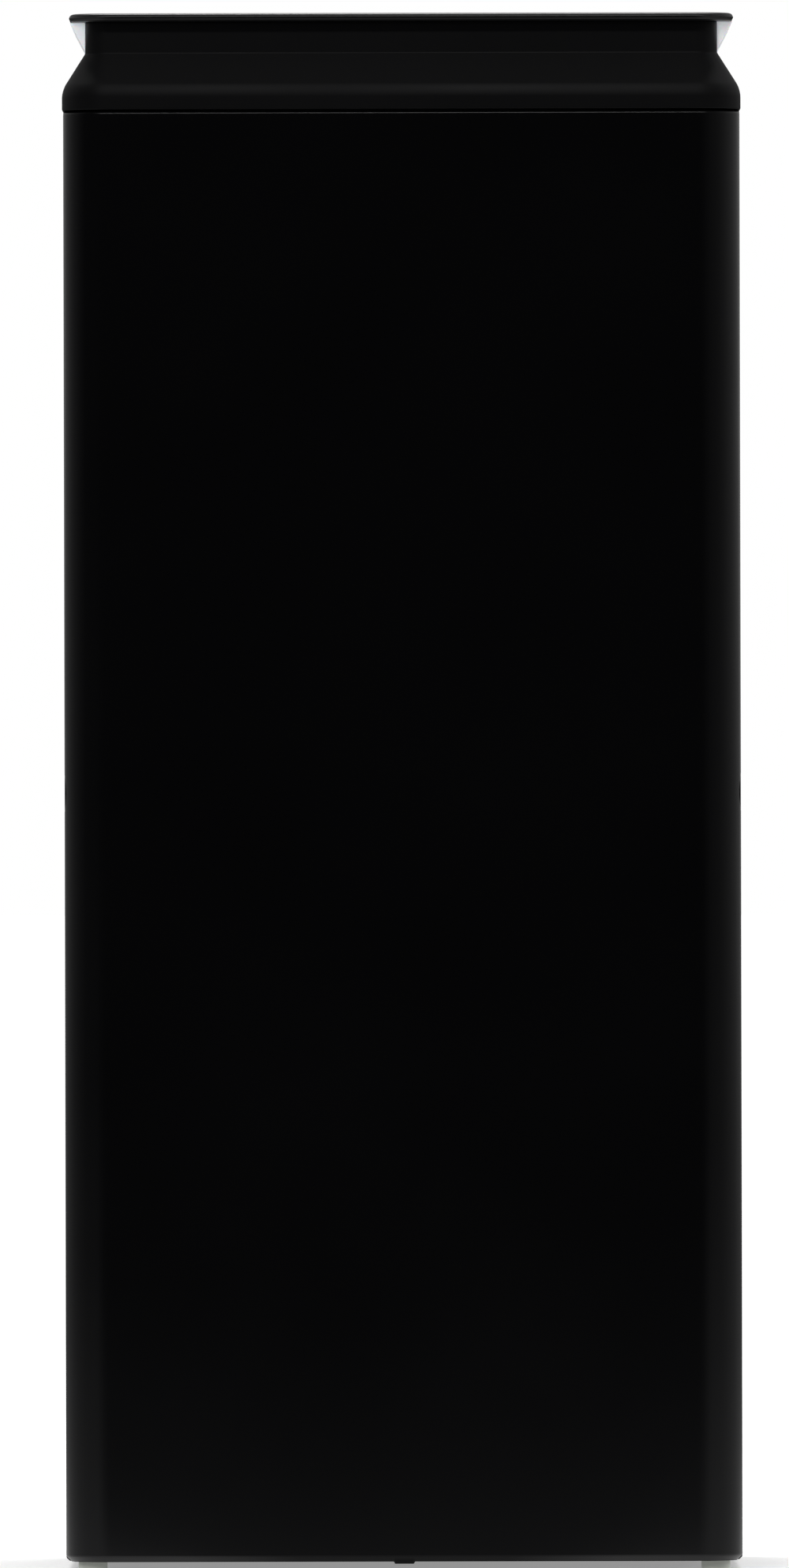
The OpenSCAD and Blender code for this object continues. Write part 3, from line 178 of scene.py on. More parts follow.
# %% [markdown]
# ## Floor
# The lens sees a matt pale floor that takes a soft shadow beside the purifier and glows up to the
# white of the room further off, so that no horizon shows. Reflections see a ring of lit floor round
# the purifier, except straight in front of it, where only a narrow strip is lit. The flat front
# then stays black to a lens at its own height, while from above the upright faces mirror the ring,
# and its soft fall shades them from top to bottom.

# %% Floor
FLOOR_RADIUS = 60
FLOOR_NEAR, FLOOR_FAR = 0.30, 1.0           # glow beside the purifier, and where the floor is bare
RING = ((0.2, 0.55), (2.2, 0.04))           # distance from the middle, and glow in a mirror
STRIP = ((0.15, 0.22), (1.4, 0.01))         # the same straight in front of the purifier
FRONT_SECTOR = (0.94, 0.80)                 # cosines between which the strip gives way to the ring
floor_paint = bpy.data.materials.new("floor_paint")
floor_paint.use_nodes = True
tree = floor_paint.node_tree
away = add(tree, "ShaderNodeVectorMath", {0: add(tree, "ShaderNodeTexCoord").outputs["Object"]},
           operation="LENGTH").outputs["Value"]
lamp = add(tree, "ShaderNodeEmission", {"Strength": ramp(tree, away, 0.7, 4.0, FLOOR_NEAR, FLOOR_FAR)})
matt = add(tree, "ShaderNodeBsdfDiffuse", {"Color": (0.8, 0.8, 0.8, 1)})
seen = add(tree, "ShaderNodeAddShader", {0: matt.outputs[0], 1: lamp.outputs[0]})
ring, strip = (ramp(tree, away, near, far, bright, dark) for (near, bright), (far, dark) in (RING, STRIP))
ahead = add(tree, "ShaderNodeSeparateXYZ", {0: add(tree, "ShaderNodeVectorMath", {
    0: add(tree, "ShaderNodeTexCoord").outputs["Object"]}, operation="NORMALIZE").outputs[0]}).outputs["Y"]
to_ring = ramp(tree, ahead, *(-cosine for cosine in FRONT_SECTOR), 0.0, 1.0)
glow = add(tree, "ShaderNodeMix", {0: to_ring, 2: strip, 3: ring}).outputs[0]
ring_lamp = add(tree, "ShaderNodeEmission", {"Strength": glow})
by_ray(tree, seen.outputs[0], ring_lamp.outputs[0], tree.nodes["Material Output"])

disc = bmesh.new()
bmesh.ops.create_circle(disc, cap_ends=True, segments=96, radius=FLOOR_RADIUS)
floor = bpy.data.objects.new("floor", bpy.data.meshes.new("floor"))
disc.to_mesh(floor.data)
disc.free()
floor.data.materials.append(floor_paint)
bpy.context.scene.collection.objects.link(floor)
print("floor", 2 * FLOOR_RADIUS, "m across")

# %% [markdown]
# ## Finishes: the common start
# Every finish starts as one Principled shader, with whatever is the same all over typed into its own
# sockets. Two small tools then break up the sameness. `grain` raises a fine noise, as spark erosion
# leaves on a mould. `drift` lets the gloss and the shade wander a little, as real mouldings do.
# Both read Object coordinates, so a pattern stays fixed to the part when the part moves.

# %% Starting a finish
paints = {}


def paint(slot, colour, rough, **sockets):
    """Starts the finish for one material slot and returns its tree and its shader."""
    made = bpy.data.materials.new(slot)
    made.use_nodes = True
    shader = made.node_tree.nodes["Principled BSDF"]
    shader.inputs["Base Color"].default_value = (*colour, 1)
    shader.inputs["Roughness"].default_value = rough
    for socket, value in sockets.items():
        shader.inputs[socket.replace("_", " ")].default_value = value
    made.diffuse_color = (*colour, 1)
    paints[slot] = made
    return made.node_tree, shader


def spot(tree, stretch=(1, 1, 1)):
    """The place on the part, stretched where a pattern runs one way."""
    place = add(tree, "ShaderNodeTexCoord").outputs["Object"]
    return add(tree, "ShaderNodeMapping", {"Vector": place, "Scale": stretch}).outputs[0]


def raise_by(tree, shader, height, depth):
    """Raises the surface by a pattern, up to a depth in metres."""
    bump = add(tree, "ShaderNodeBump", {"Height": height, "Distance": depth})
    tree.links.new(bump.outputs[0], shader.inputs["Normal"])


def grain(tree, shader, size, depth, stretch=(1, 1, 1)):
    noise = add(tree, "ShaderNodeTexNoise", {
        "Vector": spot(tree, stretch), "Scale": 1 / size, "Detail": 3.0})
    raise_by(tree, shader, noise.outputs["Fac"], depth)


def drift(tree, shader, share, size, stretch=(1, 1, 1)):
    """Lets gloss and shade wander by a share of their value over patches of a size in metres."""
    noise = add(tree, "ShaderNodeTexNoise", {
        "Vector": spot(tree, stretch), "Scale": 1 / size, "Detail": 5.0})
    rough = shader.inputs["Roughness"].default_value
    colour = Vector(shader.inputs["Base Color"].default_value[:3])
    gloss = add(tree, "ShaderNodeMapRange", {
        "Value": noise.outputs["Fac"], "From Min": 0.3, "From Max": 0.7,
        "To Min": rough * (1 - share), "To Max": min(1, rough * (1 + share))})
    shade = add(tree, "ShaderNodeMix", {
        0: noise.outputs["Fac"], 6: (*colour * (1 - share), 1), 7: (*colour * (1 + share), 1)},
        data_type="RGBA")
    tree.links.new(gloss.outputs[0], shader.inputs["Roughness"])
    tree.links.new(shade.outputs[2], shader.inputs["Base Color"])


# %% [markdown]
# ## Finishes: the casings
# The cover, the casing and the top plate are one black ABS in three textures. The cover is a satin
# gloss, the casing a finer matt spark grain, and the plate lies between them. The colour is close to
# true black. A lighter black would turn grey under the soft boxes and hide the shape of the waist.

# %% Casing plastics
PLASTICS = {                    # colour, roughness, grain size and depth, drift
    "cover_black": ((0.0012, 0.0012, 0.0015), 0.24, 0.0007, 5e-6, 0.10),
    "casing_black": ((0.0022, 0.0022, 0.0025), 0.52, 0.0006, 1.2e-5, 0.12),
    "plate_black": ((0.0120, 0.0120, 0.0126), 0.34, 0.0007, 7e-6, 0.10),
    "key_grey": ((0.030, 0.030, 0.033), 0.55, 0.0004, 1.2e-5, 0.12),
    "inner_grey": ((0.045, 0.047, 0.050), 0.50, 0.0009, 2.4e-5, 0.16),
    "fan_grey": ((0.075, 0.078, 0.082), 0.45, 0.0008, 1.4e-5, 0.14),
    "part_black": ((0.012, 0.012, 0.013), 0.42, 0.0006, 1.4e-5, 0.15),
    "part_white": ((0.62, 0.62, 0.57), 0.42, 0.0008, 1.0e-5, 0.06),
    "frame_white": ((0.70, 0.71, 0.70), 0.58, 0.0011, 2.2e-5, 0.05),
    "lead_black": ((0.010, 0.010, 0.010), 0.48, 0.0016, 2.0e-5, 0.18),
    "foot_grey": ((0.60, 0.63, 0.57), 0.78, 0.0005, 3.0e-5, 0.08),
}
SHINE = {"casing_black": 0.30}  # the matt grain swallows part of the usual 0.5
for slot, (colour, rough, size, depth, share) in PLASTICS.items():
    tree, shader = paint(slot, colour, rough, Specular_IOR_Level=SHINE.get(slot, 0.5))
    grain(tree, shader, size, depth)
    drift(tree, shader, share, 0.11)
print("plastics:", ", ".join(PLASTICS))

# %% [markdown]
# ## Finishes: metals
# Sheet steel, magnets and shafts are metals with the marks of how they were made. Stretching the
# noise along one axis turns its spots into lines, which reads as brushing or turning. Copper wire
# gets fine even ridges from a Wave texture, one for each turn of the winding.

# %% Metals
METALS = {                      # colour, roughness, grain size, depth and stretch
    "steel": ((0.46, 0.46, 0.45), 0.34, 0.0010, 1.2e-5, (1, 12, 1)),
    "magnet_metal": ((0.62, 0.62, 0.60), 0.18, 0.0012, 3e-6, (1, 1, 1)),
    "dark_metal": ((0.07, 0.07, 0.075), 0.50, 0.0006, 2.0e-5, (1, 1, 1)),
    "brass": ((0.66, 0.47, 0.17), 0.28, 0.0009, 6e-6, (1, 8, 1)),
    "aluminium": ((0.60, 0.61, 0.62), 0.36, 0.0010, 1.0e-5, (1, 1, 14)),
    "label_silver": ((0.52, 0.52, 0.53), 0.40, 0.0007, 5e-6, (14, 1, 1)),
}
for slot, (colour, rough, size, depth, stretch) in METALS.items():
    tree, shader = paint(slot, colour, rough, Metallic=1.0)
    grain(tree, shader, size, depth, stretch)
    drift(tree, shader, 0.14, 0.02, stretch)

tree, shader = paint("copper", (0.60, 0.22, 0.08), 0.30, Metallic=1.0, Coat_Weight=0.6)
turns = add(tree, "ShaderNodeTexWave", {"Vector": spot(tree), "Scale": 420.0, "Distortion": 0.6},
            bands_direction="Y")
raise_by(tree, shader, turns.outputs["Fac"], 1.5e-4)
drift(tree, shader, 0.12, 0.006)
print("metals:", ", ".join(METALS), "and copper")

# %% [markdown]
# ## Finishes: lens, light guides and board
# The display lens is smoked acrylic, polished, so it is the one sharp mirror on the top. The light
# guides are frosted acrylic. They let some light through, scatter the rest and glow a little with
# what their lamps send in. The circuit boards are solder mask over tracks, which a brick pattern
# stands for: the tracks lie a hair higher and a shade lighter than the gaps.

# %% Lens, light guides and board
tree, shader = paint("lens_smoke", (0.004, 0.004, 0.005), 0.16, Coat_Weight=0.4, Coat_Roughness=0.10)
drift(tree, shader, 0.35, 0.03)

tree, shader = paint("frosted_guide", (0.82, 0.83, 0.84), 0.42, Transmission_Weight=0.15,
                     Subsurface_Weight=0.5, Subsurface_Scale=0.004, Emission_Strength=0.30,
                     Emission_Color=(0.93, 0.96, 1.0, 1))
grain(tree, shader, 0.0008, 2e-5)
drift(tree, shader, 0.03, 0.05)

tree, shader = paint("board_green", (0.02, 0.12, 0.05), 0.30)
tracks = add(tree, "ShaderNodeTexBrick", {
    "Vector": spot(tree), "Color1": (0.020, 0.130, 0.050, 1), "Color2": (0.016, 0.105, 0.042, 1),
    "Mortar": (0.035, 0.190, 0.085, 1), "Scale": 60.0, "Mortar Size": 0.03})
tree.links.new(tracks.outputs["Color"], shader.inputs["Base Color"])
raise_by(tree, shader, tracks.outputs["Fac"], 4e-5)
print("lens, guides and board")

# %% [markdown]
# ## Finishes: the filters
# The screen is nylon thread. The particle filter is glass-fibre paper: matt, faintly warm, with
# short fibres that show as a noise at two sizes. The odour filter is packed with carbon grains, which
# a Voronoi pattern draws as rounded lumps with dark gaps between them.

# %% Filter finishes
tree, shader = paint("mesh_black", (0.016, 0.016, 0.017), 0.52, Sheen_Weight=0.2)
grain(tree, shader, 0.0004, 4e-5)
drift(tree, shader, 0.2, 0.03)

tree, shader = paint("media_white", (0.78, 0.78, 0.73), 0.92, Sheen_Weight=0.25)
coarse = add(tree, "ShaderNodeTexNoise", {"Vector": spot(tree), "Scale": 260.0, "Detail": 2.0})
fibres = add(tree, "ShaderNodeTexNoise", {"Vector": spot(tree, (1, 1, 0.15)), "Scale": 1500.0})
felt = add(tree, "ShaderNodeMath", {0: coarse.outputs["Fac"], 1: fibres.outputs["Fac"]})
raise_by(tree, shader, felt.outputs[0], 1.2e-4)
drift(tree, shader, 0.07, 0.014)

tree, shader = paint("carbon_black", (0.010, 0.010, 0.011), 0.62)
lumps = add(tree, "ShaderNodeTexVoronoi", {"Vector": spot(tree), "Scale": 520.0})
raise_by(tree, shader, lumps.outputs["Distance"], -6e-4)
drift(tree, shader, 0.3, 0.004)
print(len(paints), "finishes for", len(record["materials"]), "slots")

# %% [markdown]
# ## Every part gets its finish
# A part whose shape is already right keeps its mesh, and its material slot is pointed at the finish
# that the record names. This one loop covers screws, boards, shafts, brackets and leads. The parts
# that get a detailed stand-in further down are simply hidden again when they are replaced.

# %% Finishes on the model
for name, part in nodes.items():
    for seat in part.material_slots:
        seat.link = "OBJECT"
        seat.material = paints[slot_of[name]]
print("painted", len(nodes), "parts")

# %% [markdown]
# ## Shells with softened edges
# No moulding has a knife edge, and the thin line of light along a softened edge is what tells the eye
# that a black part is solid. A casing is copied from the model, and its loose triangles are welded
# and flat faces joined, so that a Bevel modifier can find the true edges. The rounding is a few tenths
# of a millimetre. Weighted normals then keep the flat faces flat and the corners smooth. The shoulder
# of the top cap is rounder than that, so its crease is bevelled first, by some millimetres.

# %% Softening a shell
WELD = 1e-6
FLAT = math.radians(0.4)
CREASE = math.radians(32)
LEVEL = 0.05                    # how far a normal may lean and still count as level
SHOULDER_REACH = 3.4 * MM       # how far the rounding runs up the slope and down the band
SHOULDER_STEPS = 6


def link(name, mesh):
    piece = bpy.data.objects.new(name, mesh)
    bpy.context.scene.collection.objects.link(piece)
    return piece


def keep_result(piece):
    """Swaps a piece's mesh for what its modifiers make of it, and drops the modifiers."""
    graph = bpy.context.evaluated_depsgraph_get()
    mesh = bpy.data.meshes.new_from_object(piece.evaluated_get(graph), depsgraph=graph)
    piece.modifiers.clear()
    piece.data = mesh
    mesh.name = piece.name
    return piece


def mesh_of(shape, name):
    """Turns a bmesh into a named mesh and lets it go."""
    mesh = bpy.data.meshes.new(name)
    shape.to_mesh(mesh)
    shape.free()
    return mesh


def tell(name, mesh):
    """Prints a mesh's faces, and its edges that don't lie between exactly two of them."""
    shape = bmesh.new()
    shape.from_mesh(mesh)
    loose = sum(not edge.is_manifold for edge in shape.edges)
    shape.free()
    print(f"{name}: {len(mesh.polygons)} faces, {loose} loose edges")


def welded(node):
    """A copy of a model part with its triangles joined into clean faces."""
    shape = bmesh.new()
    shape.from_mesh(nodes[node].data)
    bmesh.ops.remove_doubles(shape, verts=shape.verts, dist=WELD)
    bmesh.ops.dissolve_limit(shape, angle_limit=FLAT, verts=shape.verts, edges=shape.edges)
    for face in shape.faces:
        face.smooth = True
    return mesh_of(shape, node + "_shell")


def settle(piece, *stands_for, finish=None):
    """Puts a finished piece on the body of the part that it stands for, with that part's finish."""
    slot = finish or slot_of[stands_for[0]]
    piece.data.materials.clear()
    piece.data.materials.append(paints[slot])
    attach(piece, body_of[stands_for[0]])
    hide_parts(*stands_for)
    return piece


def round_shoulder(mesh):
    """Rounds the crease where the widest band of the top cap turns into its slope."""
    shape = bmesh.new()
    shape.from_mesh(mesh)
    widest = max(vert.co.x for vert in shape.verts)
    rim = max(vert.co.z for vert in shape.verts if vert.co.x > widest - WELD)
    crease = []
    for edge in shape.edges:
        if edge.is_manifold and all(abs(vert.co.z - rim) < WELD for vert in edge.verts):
            upright, slope = sorted(face.normal.z for face in edge.link_faces)
            if abs(upright) < LEVEL and slope > LEVEL:
                crease.append(edge)
    bmesh.ops.bevel(shape, geom=crease, offset=SHOULDER_REACH, segments=SHOULDER_STEPS, profile=0.5,
                    affect="EDGES", clamp_overlap=False)
    for face in shape.faces:
        face.smooth = True
    shape.to_mesh(mesh)
    shape.free()
    print(len(crease), "shoulder edges rounded")


def soften(node, width, segments=2):
    """Stands a copy with rounded edges in for a model part. Width is in metres."""
    piece = link(node + "_shell", welded(node))
    if node == "top_cap":
        round_shoulder(piece.data)
    bevel = piece.modifiers.new("edges", "BEVEL")
    bevel.width = width
    bevel.segments = segments
    bevel.limit_method = "ANGLE"
    bevel.angle_limit = CREASE
    bevel.use_clamp_overlap = False
    bevel.miter_outer = "MITER_ARC"
    normals = piece.modifiers.new("normals", "WEIGHTED_NORMAL")
    normals.keep_sharp = True
    keep_result(piece)
    return settle(piece, node)


# %% Softened shells
SHELLS = {                      # how far each part's edges are rounded, in millimetres
    "front_cover": 0.5, "rear_shell": 0.4, "base_tray": 0.4, "top_cap": 0.4, "top_plate": 0.9,
    "sensor_hatch": 0.35, "cord_clip": 0.25, "display_lens": 0.3, "power_inlet": 0.35,
    "left_light_guide": 0.3, "right_light_guide": 0.3, "feet": 0.4, "filter_bay": 0.3,
    "screen_frame": 0.4, "hepa_frame": 0.5, "carbon_frame": 0.4, "rating_plate": 0.08,
    "power_key": 0.5, "speed_key": 0.5, "mode_key": 0.5, "timer_key": 0.5,
    "strikers": 0.2, "cover_magnets": 0.3,
}
for node, width in SHELLS.items():
    segments = 3 if node.endswith("key") or node in ("front_cover", "top_plate") else 2
    piece = soften(node, width * MM, segments)
    tell(piece.name, piece.data)

# %% [markdown]
# ## Growing what repeats
# Slats, folds, cells and threads are one small shape many times over. Geometry Nodes hold such a rule
# as a tree with named inputs, so one tree serves several parts at different sizes. The next helpers
# start a tree, end it, and run it. The result is kept as a plain mesh, because a mesh is what moves
# with its body and what other programs can read.

# %% Starting, ending and running a tree
KINDS = {"int": "NodeSocketInt", "size": "NodeSocketFloat", "place": "NodeSocketVector",
         "shape": "NodeSocketObject", "finish": "NodeSocketMaterial"}


def plant(name, **inputs):
    """Starts a tree with named inputs. Returns the tree and its input node's outputs."""
    tree = bpy.data.node_groups.new(name, "GeometryNodeTree")
    tree.interface.new_socket("Geometry", in_out="INPUT", socket_type="NodeSocketGeometry")
    for label, kind in {**inputs, "Finish": "finish"}.items():
        tree.interface.new_socket(label, in_out="INPUT", socket_type=KINDS[kind])
    tree.interface.new_socket("Geometry", in_out="OUTPUT", socket_type="NodeSocketGeometry")
    return tree, add(tree, "NodeGroupInput").outputs


def crown(tree, given, shape):
    """Ends a tree: makes its instances real and gives them their finish."""
    real = add(tree, "GeometryNodeRealizeInstances", {"Geometry": shape})
    done = add(tree, "GeometryNodeSetMaterial", {0: real.outputs[0], "Material": given["Finish"]})
    add(tree, "NodeGroupOutput", {0: done.outputs[0]})


def sums(tree, operation, first, second=0.0):
    return add(tree, "ShaderNodeMath", {0: first, 1: second}, operation=operation).outputs[0]


def vector(tree, x=0.0, y=0.0, z=0.0):
    return add(tree, "ShaderNodeCombineXYZ", {0: x, 1: y, 2: z}).outputs[0]


def corners(node):
    """The low and the high corner of a part's box."""
    return [Vector(corner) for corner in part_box(node)]


def grow(name, tree, base=None, **values):
    """Runs a tree with these inputs, on a base mesh where it needs one, and keeps a plain mesh."""
    piece = link(name, base or bpy.data.meshes.new(name))
    modifier = piece.modifiers.new(tree.name, "NODES")
    modifier.node_group = tree
    for socket in tree.interface.items_tree:
        if socket.in_out == "INPUT" and socket.name in values:
            modifier[socket.identifier] = values[socket.name]
    keep_result(piece)
    piece.data.shade_smooth()
    piece.data.set_sharp_from_angle(angle=CREASE)
    tell(name, piece.data)
    return piece


def joined(name, *parts):
    """Joins pieces into one mesh under one name."""
    whole = bmesh.new()
    for part in parts:
        whole.from_mesh(part.data)
        bpy.data.objects.remove(part)
    mesh = mesh_of(whole, name)
    mesh.set_sharp_from_angle(angle=CREASE)
    return link(name, mesh)


# %% [markdown]
# ## Frames round the openings
# The outlet and the intakes are plastic grilles: a frame with a rounded lip, and vanes across it. The
# frame is a section carried round a rounded rectangle. Writing the section as a few (inset, height)
# pairs keeps it easy to change, and the corners stay true arcs at every inset.

# %% A section carried round a rounded rectangle
ARC = 8                         # steps in each quarter circle


def carried(name, across, up, radius, section, put):
    """Carries a closed section round a rectangle. put turns (u, v, height) into a place."""
    shape = bmesh.new()
    loops = []
    for inset, height in section:
        half_u, half_v = across / 2 - inset, up / 2 - inset
        bend = max(radius - inset, 0.2 * MM)
        loop = []
        for quarter in range(4):
            sign_u = 1 if quarter in (0, 3) else -1
            sign_v = 1 if quarter in (0, 1) else -1
            for step in range(ARC + 1):
                turn = math.radians(90 * (quarter + step / ARC))
                u = sign_u * (half_u - bend) + bend * math.cos(turn)
                v = sign_v * (half_v - bend) + bend * math.sin(turn)
                loop.append(shape.verts.new(put(u, v, height)))
        loops.append(loop)
    for low, high in zip(loops, loops[1:] + loops[:1]):
        for i, corner in enumerate(low):
            after = (i + 1) % len(low)
            shape.faces.new((corner, low[after], high[after], high[i]))
    bmesh.ops.recalc_face_normals(shape, faces=shape.faces)
    mesh = mesh_of(shape, name)
    mesh.shade_smooth()
    mesh.set_sharp_from_angle(angle=CREASE)
    tell(name, mesh)
    return link(name, mesh)


# %% [markdown]
# ## A tree for slats
# A slat is a bar with rounded edges that leans, so that air passes and the eye doesn't. The tree draws
# the rounded section, carries it along a line, leans it, and sets a copy at each step of a second
# line. Louvres, intake slats and the ribs under them all come from this one tree.

# %% The slat tree
ROUNDING = 0.42                 # radius of a slat's edges, as a share of its thickness
slats, given = plant("slats", Count="int", Step="place", Start="place", Length="size", Chord="size",
                     Thick="size", Lean="place", Turn="place")
section = add(slats, "GeometryNodeCurvePrimitiveQuadrilateral",
              {"Width": given["Thick"], "Height": given["Chord"]})
round_edge = sums(slats, "MULTIPLY", given["Thick"], ROUNDING)
section = add(slats, "GeometryNodeFilletCurve", {0: section.outputs[0], "Radius": round_edge, "Count": 3},
              mode="POLY")
half = sums(slats, "MULTIPLY", given["Length"], 0.5)
run = add(slats, "GeometryNodeCurvePrimitiveLine",
          {"Start": vector(slats, sums(slats, "MULTIPLY", half, -1.0)), "End": vector(slats, half)})
bar = add(slats, "GeometryNodeCurveToMesh",
          {0: run.outputs[0], 1: section.outputs[0], "Fill Caps": True})
leaning = add(slats, "GeometryNodeTransform", {0: bar.outputs[0], "Rotation": given["Lean"]})
turned = add(slats, "GeometryNodeTransform", {0: leaning.outputs[0], "Rotation": given["Turn"]})
row = add(slats, "GeometryNodeMeshLine",
          {"Count": given["Count"], "Start Location": given["Start"], "Offset": given["Step"]})
copies = add(slats, "GeometryNodeInstanceOnPoints", {0: row.outputs[0], "Instance": turned.outputs[0]})
crown(slats, given, copies.outputs[0])
print("slat tree:", len(slats.nodes), "nodes")

# %% [markdown]
# ## Outlet grille
# Clean air leaves through louvres in the top plate. The vanes lean back, so that the air rises away
# from whoever stands in front, and thin ribs underneath hold them apart. A finger can't pass the
# gaps. The frame has a small lip that sits in the plate's recess.

# %% Outlet grille
VANE_GAP = 9 * MM
VANE_THICK = 1.7 * MM
RIM = 5.1 * MM                  # from the edge of the lip to the opening
SKIRT_IN = 3.0 * MM             # from the edge of the lip to the skirt under it
CORNER = 10.7 * MM              # radius of the lip's corners
VANE_LEAN = math.radians(-22)
RIB_DEEP, RIB_THICK = 3.6 * MM, 1.6 * MM
LET_IN = 0.8 * MM               # how far each end of a slat goes into the frame
low, high = corners("outlet_grille")
middle = (low + high) / 2
size = high - low
lip_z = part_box("top_plate")[0][2]
outlet_frame = carried("outlet_frame", size.x, size.y, CORNER, [
    (0, lip_z), (0, high.z - 0.5 * MM), (0.15 * MM, high.z - 0.15 * MM), (0.5 * MM, high.z),
    (RIM - 0.8 * MM, high.z), (RIM - 0.25 * MM, high.z - 0.25 * MM), (RIM, high.z - 0.8 * MM),
    (RIM, low.z), (SKIRT_IN, low.z), (SKIRT_IN, lip_z),
], lambda u, v, height: (middle.x + u, middle.y + v, height))
clear = size.y - 2 * RIM
vanes = int((clear - VANE_GAP / 2) / VANE_GAP)
first_y = middle.y - (vanes - 1) * VANE_GAP / 2
chord = (high.z - low.z - 1.2 * MM) / math.cos(VANE_LEAN)
outlet_vanes = grow(
    "outlet_vanes", slats, Count=vanes, Step=(0, VANE_GAP, 0),
    Start=(middle.x, first_y, middle.z + 0.2 * MM),
    Length=size.x - 2 * RIM + 2 * LET_IN, Chord=chord, Thick=VANE_THICK,
    Lean=(VANE_LEAN, 0, 0), Turn=(0, 0, 0), Finish=paints["inner_grey"])
RIBS = 5
rib_step = (size.x - 2 * RIM) / (RIBS + 1)
outlet_ribs = grow(
    "outlet_ribs", slats, Count=RIBS, Step=(rib_step, 0, 0),
    Start=(middle.x - rib_step * (RIBS - 1) / 2, middle.y, low.z + 2.4 * MM),
    Length=clear + 2 * LET_IN, Chord=RIB_DEEP, Thick=RIB_THICK, Lean=(0, 0, 0),
    Turn=(0, 0, math.radians(90)), Finish=paints["inner_grey"])
settle(joined("outlet_louvres", outlet_frame, outlet_vanes, outlet_ribs), "outlet_grille",
       finish="part_black")

# %% [markdown]
# ## Side intakes
# Room air comes in behind the two edges of the cover, through a narrow grille in each side. Each one
# has a flush frame, a bar down the middle and short slats that lean, so that the dark filter bay
# doesn't show. Both sides come from one loop, and the second is the first turned about.

# %% Side intakes
SLAT_PITCH = 8 * MM
SLAT_CHORD, SLAT_THICK = 4.3 * MM, 1.4 * MM
SLAT_LEAN = math.radians(38)
EDGE = 3 * MM                   # width of the frame and of the bar
LIP = 3 * MM                    # how far the flange reaches past the window
FLANGE = 1.5 * MM
for side, node in ((1, "right_intake_grille"), (-1, "left_intake_grille")):
    low, high = corners(node)
    middle = (low + high) / 2
    face_x = high.x if side > 0 else -low.x     # the flush outside
    back_x = low.x if side > 0 else -high.x     # the flange inside
    wide, tall = high.y - low.y, high.z - low.z
    rim = LIP + EDGE
    step_x = back_x + FLANGE
    slat_x = (back_x + face_x - 0.4 * MM) / 2
    frame_piece = carried("intake_frame", wide, tall, 1.0 * MM, [
        (0, back_x), (0, step_x), (LIP, step_x), (LIP, face_x - 0.4 * MM), (LIP + 0.4 * MM, face_x),
        (rim - 0.5 * MM, face_x), (rim, face_x - 0.5 * MM), (rim, back_x),
    ], lambda u, v, height: (side * height, middle.y + u, middle.z + v))
    window = tall - 2 * rim
    count = int(window / SLAT_PITCH)
    slat_piece = grow(
        "intake_slats", slats, Count=count, Step=(0, 0, SLAT_PITCH),
        Start=(side * slat_x, middle.y, middle.z - (count - 1) * SLAT_PITCH / 2),
        Length=wide - 2 * rim + 1 * MM, Chord=SLAT_CHORD, Thick=SLAT_THICK,
        Lean=(SLAT_LEAN, 0, 0), Turn=(0, 0, math.radians(90 * side)), Finish=paints["casing_black"])
    bar_piece = grow(
        "intake_bar", slats, Count=1, Step=(0, 0, 0),
        Start=(side * (back_x + face_x) / 2, middle.y, middle.z),
        Length=window + 1 * MM, Chord=EDGE, Thick=face_x - back_x - 0.2 * MM,
        Lean=(0, 0, 0), Turn=(0, math.radians(90), 0), Finish=paints["casing_black"])
    settle(joined(node.replace("grille", "slats"), frame_piece, slat_piece, bar_piece), node)

# %% [markdown]
# ## Particle filter
# One long sheet of glass-fibre paper is folded back and forth, so that a thin filter holds several
# square metres of it. The tree lays a line of points, lifts every second one to the far side, rounds
# the folds and pulls the line up into a sheet. The sheet then gets its thickness. Rows of hot-melt
# glue hold the folds apart, one bead on each fold.

# %% The pleat tree
pleats, given = plant("pleats", Folds="int", Width="size", Depth="size", Height="size", Bend="size",
                      Corner="place")
step = sums(pleats, "DIVIDE", given["Width"], given["Folds"])
points = add(pleats, "GeometryNodeMeshLine", {
    "Count": sums(pleats, "ADD", given["Folds"], 1.0), "Start Location": given["Corner"],
    "Offset": vector(pleats, step)})
odd = sums(pleats, "MODULO", add(pleats, "GeometryNodeInputIndex").outputs[0], 2.0)
zigzag = add(pleats, "GeometryNodeSetPosition", {
    0: points.outputs[0], "Offset": vector(pleats, 0.0, sums(pleats, "MULTIPLY", odd, given["Depth"]))})
line = add(pleats, "GeometryNodeMeshToCurve", {0: zigzag.outputs[0]})
bent = add(pleats, "GeometryNodeFilletCurve", {0: line.outputs[0], "Radius": given["Bend"], "Count": 4},
           mode="POLY")
edges = add(pleats, "GeometryNodeCurveToMesh", {0: bent.outputs[0]})
sheet = add(pleats, "GeometryNodeExtrudeMesh", {
    0: edges.outputs[0], "Offset": vector(pleats, 0.0, 0.0, given["Height"])}, mode="EDGES")
crown(pleats, given, sheet.outputs[0])

# %% The bead tree
beads, given = plant("beads", Columns="int", Rows="int", Wide="size", Tall="size", Middle="place",
                     Radius="size", Stretch="place", Turn="place")
grid = add(beads, "GeometryNodeMeshGrid", {"Size X": given["Wide"], "Size Y": given["Tall"],
                                           "Vertices X": given["Columns"], "Vertices Y": given["Rows"]})
upright = add(beads, "GeometryNodeTransform", {
    0: grid.outputs[0], "Translation": given["Middle"], "Rotation": given["Turn"]})
drop = add(beads, "GeometryNodeMeshIcoSphere", {"Radius": given["Radius"], "Subdivisions": 2})
drops = add(beads, "GeometryNodeInstanceOnPoints", {
    0: upright.outputs[0], "Instance": drop.outputs[0], "Scale": given["Stretch"]})
crown(beads, given, drops.outputs[0])
print("pleat tree:", len(pleats.nodes), "nodes; bead tree:", len(beads.nodes), "nodes")

